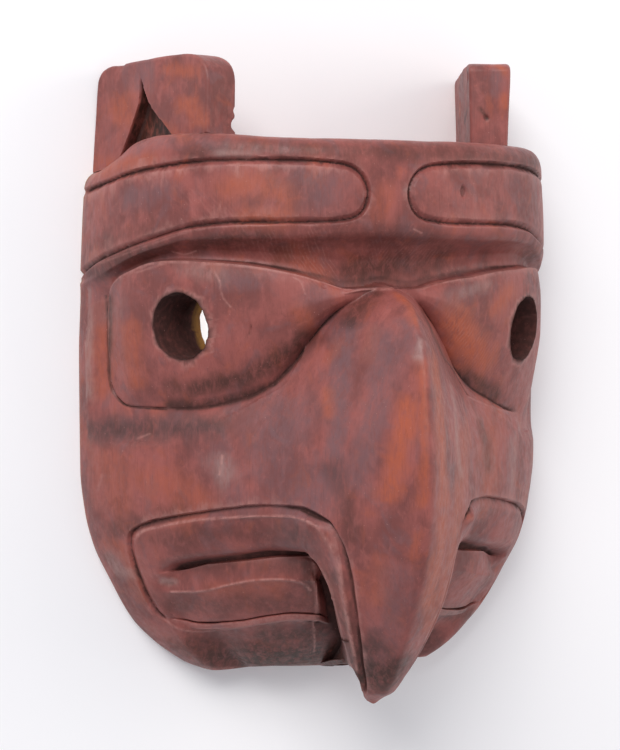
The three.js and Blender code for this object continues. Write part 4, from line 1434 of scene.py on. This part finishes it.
class BirdMaskFinish(bpy.types.PropertyGroup):
    """Colours of the stained wood and the stage."""

    stain: colour_property("Stain", "Red-brown stain at its usual strength", "96524C")
    stain_deep: colour_property("Deep stain", "Where the wood took more stain", "753F3B")
    stain_light: colour_property("Light stain", "Where the wood took less stain", "A35C56")
    stain_worn: colour_property("Worn stain", "Where hands wore the stain thin", "AA5439")
    # Also painted shade in the brow's hollow, round the eyes, beside the beak, under the lip and on
    # the chin
    stain_dark_and_shade: colour_property("Dark stain", "Where the stain pooled", "3C221A")
    # Also a painted sheen on the beak and cheeks, and painted shade under the left eye
    smoky_wax_sheen_and_shade: colour_property("Smoky wax", "Grey-violet bloom of old wax", "715256")
    # A painted highlight
    painted_highlight: colour_property("Pale wax", "Where the wax catches the light", "A5857F")
    # Partly a painted highlight on convex edges and raised lines
    rubbed_and_highlit: colour_property("Rubbed wood", "Rubbed edges, scratches and specks", "B9827A")
    # Painted shade in grooves, creases, hollows and the eye holes
    groove: colour_property("Groove", "Bottom of the cuts", "3A201C")
    bare_wood: colour_property("Bare wood", "Unstained wood inside", "94672E")
    bare_wood_dark: colour_property("Bare wood grain", "Grain of the unstained wood", "77502A")
    paper: colour_property("Paper", "Background paper", "FBFBFD")


# Operators

def finish_piece(piece, node, material):
    """Gives the piece its finish and lets it stand for the solid of the same form."""
    piece.data.materials.clear()
    piece.data.materials.append(material)
    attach(piece, BODY)
    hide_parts(node)


class BIRD_MASK_OT_carve_face(bpy.types.Operator):
    """Carves the hollow face with its beak, eyes and mouth"""

    bl_idname = "bird_mask.carve_face"
    bl_label = "Carve Face"

    def execute(self, context):
        sizes = context.scene.bird_mask_sizes
        face = new_object("carved_face", *outer_surface(sizes, FINE_GRID))
        cutters = [new_object("hollow", *hollow_surface(sizes))]
        cutters += [new_object("eye_hole", *eye_hole_surface(sizes, *hole)) for hole in EYE_HOLES]
        cut_away(face, cutters)
        thin_out(face, FACE_TRIANGLES)
        drop_slivers(face)
        soften(face)
        keep_wear_and_painted_light(face.data, sizes)
        finish_piece(face, "mask_face", stained_alder(context.scene.bird_mask_finish))
        return {"FINISHED"}


class BIRD_MASK_OT_carve_ears(bpy.types.Operator):
    """Saws and carves the two slab ears"""

    bl_idname = "bird_mask.carve_ears"
    bl_label = "Carve Ears"

    def execute(self, context):
        sizes = context.scene.bird_mask_sizes
        for node, side, outward, turn, rounding, taper in EARS:
            ear = prism("carved_" + node, ear_outline(rounding), 0, sizes.ear_thickness / MM)
            round_edges(ear, EAR_EDGE)
            cut_away(ear, [prism("slit", SLIT, -3, sizes.slit_depth / MM)])
            even_grid(ear, EAR_GRID)
            work_ear(ear, side, taper)
            ear.data.transform(ear_place(side, outward, turn))
            if signed_volume(ear.data) < 0:    # the right ear's place mirrors it
                ear.data.flip_normals()
            crown = outer_surface(sizes, COARSE_GRID, PIECE_GAP, -CROWN_PAST_BACK)
            cut_away(ear, [new_object("crown", *crown), behind_back()])
            drop_slivers(ear)
            soften(ear)
            keep_wear_and_painted_light(ear.data, sizes, (side, outward, turn))
            finish_piece(ear, node, stained_alder(context.scene.bird_mask_finish))
        return {"FINISHED"}


class BIRD_MASK_OT_set_stage(bpy.types.Operator):
    """Lays the pale floor and sets the soft studio light and the camera"""

    bl_idname = "bird_mask.set_stage"
    bl_label = "Set Stage"

    def execute(self, context):
        lay_floor(matt_paper(context.scene.bird_mask_finish.paper))
        for light in LIGHTS:
            hang_light(*light)
        fill_room(context.scene)
        aim_camera(context.scene)
        return {"FINISHED"}


class BIRD_MASK_PT_tools(bpy.types.Panel):
    """Lists the mask's parts, sizes and colours"""

    bl_label = "Bird Mask"
    bl_idname = "BIRD_MASK_PT_tools"
    bl_space_type = "VIEW_3D"
    bl_region_type = "UI"
    bl_category = "Bird Mask"

    def draw(self, context):
        column = self.layout.column(align=True)
        for operator in OPERATORS:
            column.operator(operator.bl_idname)
        for group in (context.scene.bird_mask_sizes, context.scene.bird_mask_finish):
            column = self.layout.column(align=True)
            for name in group.bl_rna.properties.keys():
                if name not in ("rna_type", "name"):
                    column.prop(group, name)


OPERATORS = (BIRD_MASK_OT_carve_face, BIRD_MASK_OT_carve_ears, BIRD_MASK_OT_set_stage)
CLASSES = (BirdMaskSizes, BirdMaskFinish, *OPERATORS, BIRD_MASK_PT_tools)


def register():
    for cls in CLASSES:
        bpy.utils.register_class(cls)
    bpy.types.Scene.bird_mask_sizes = bpy.props.PointerProperty(type=BirdMaskSizes)
    bpy.types.Scene.bird_mask_finish = bpy.props.PointerProperty(type=BirdMaskFinish)


def unregister():
    del bpy.types.Scene.bird_mask_finish
    del bpy.types.Scene.bird_mask_sizes
    for cls in reversed(CLASSES):
        bpy.utils.unregister_class(cls)


def main():
    """Registers the add-on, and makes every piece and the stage."""
    register()
    bpy.ops.bird_mask.carve_face()
    bpy.ops.bird_mask.carve_ears()
    bpy.ops.bird_mask.set_stage()


if __name__ == "__main__":
    main()
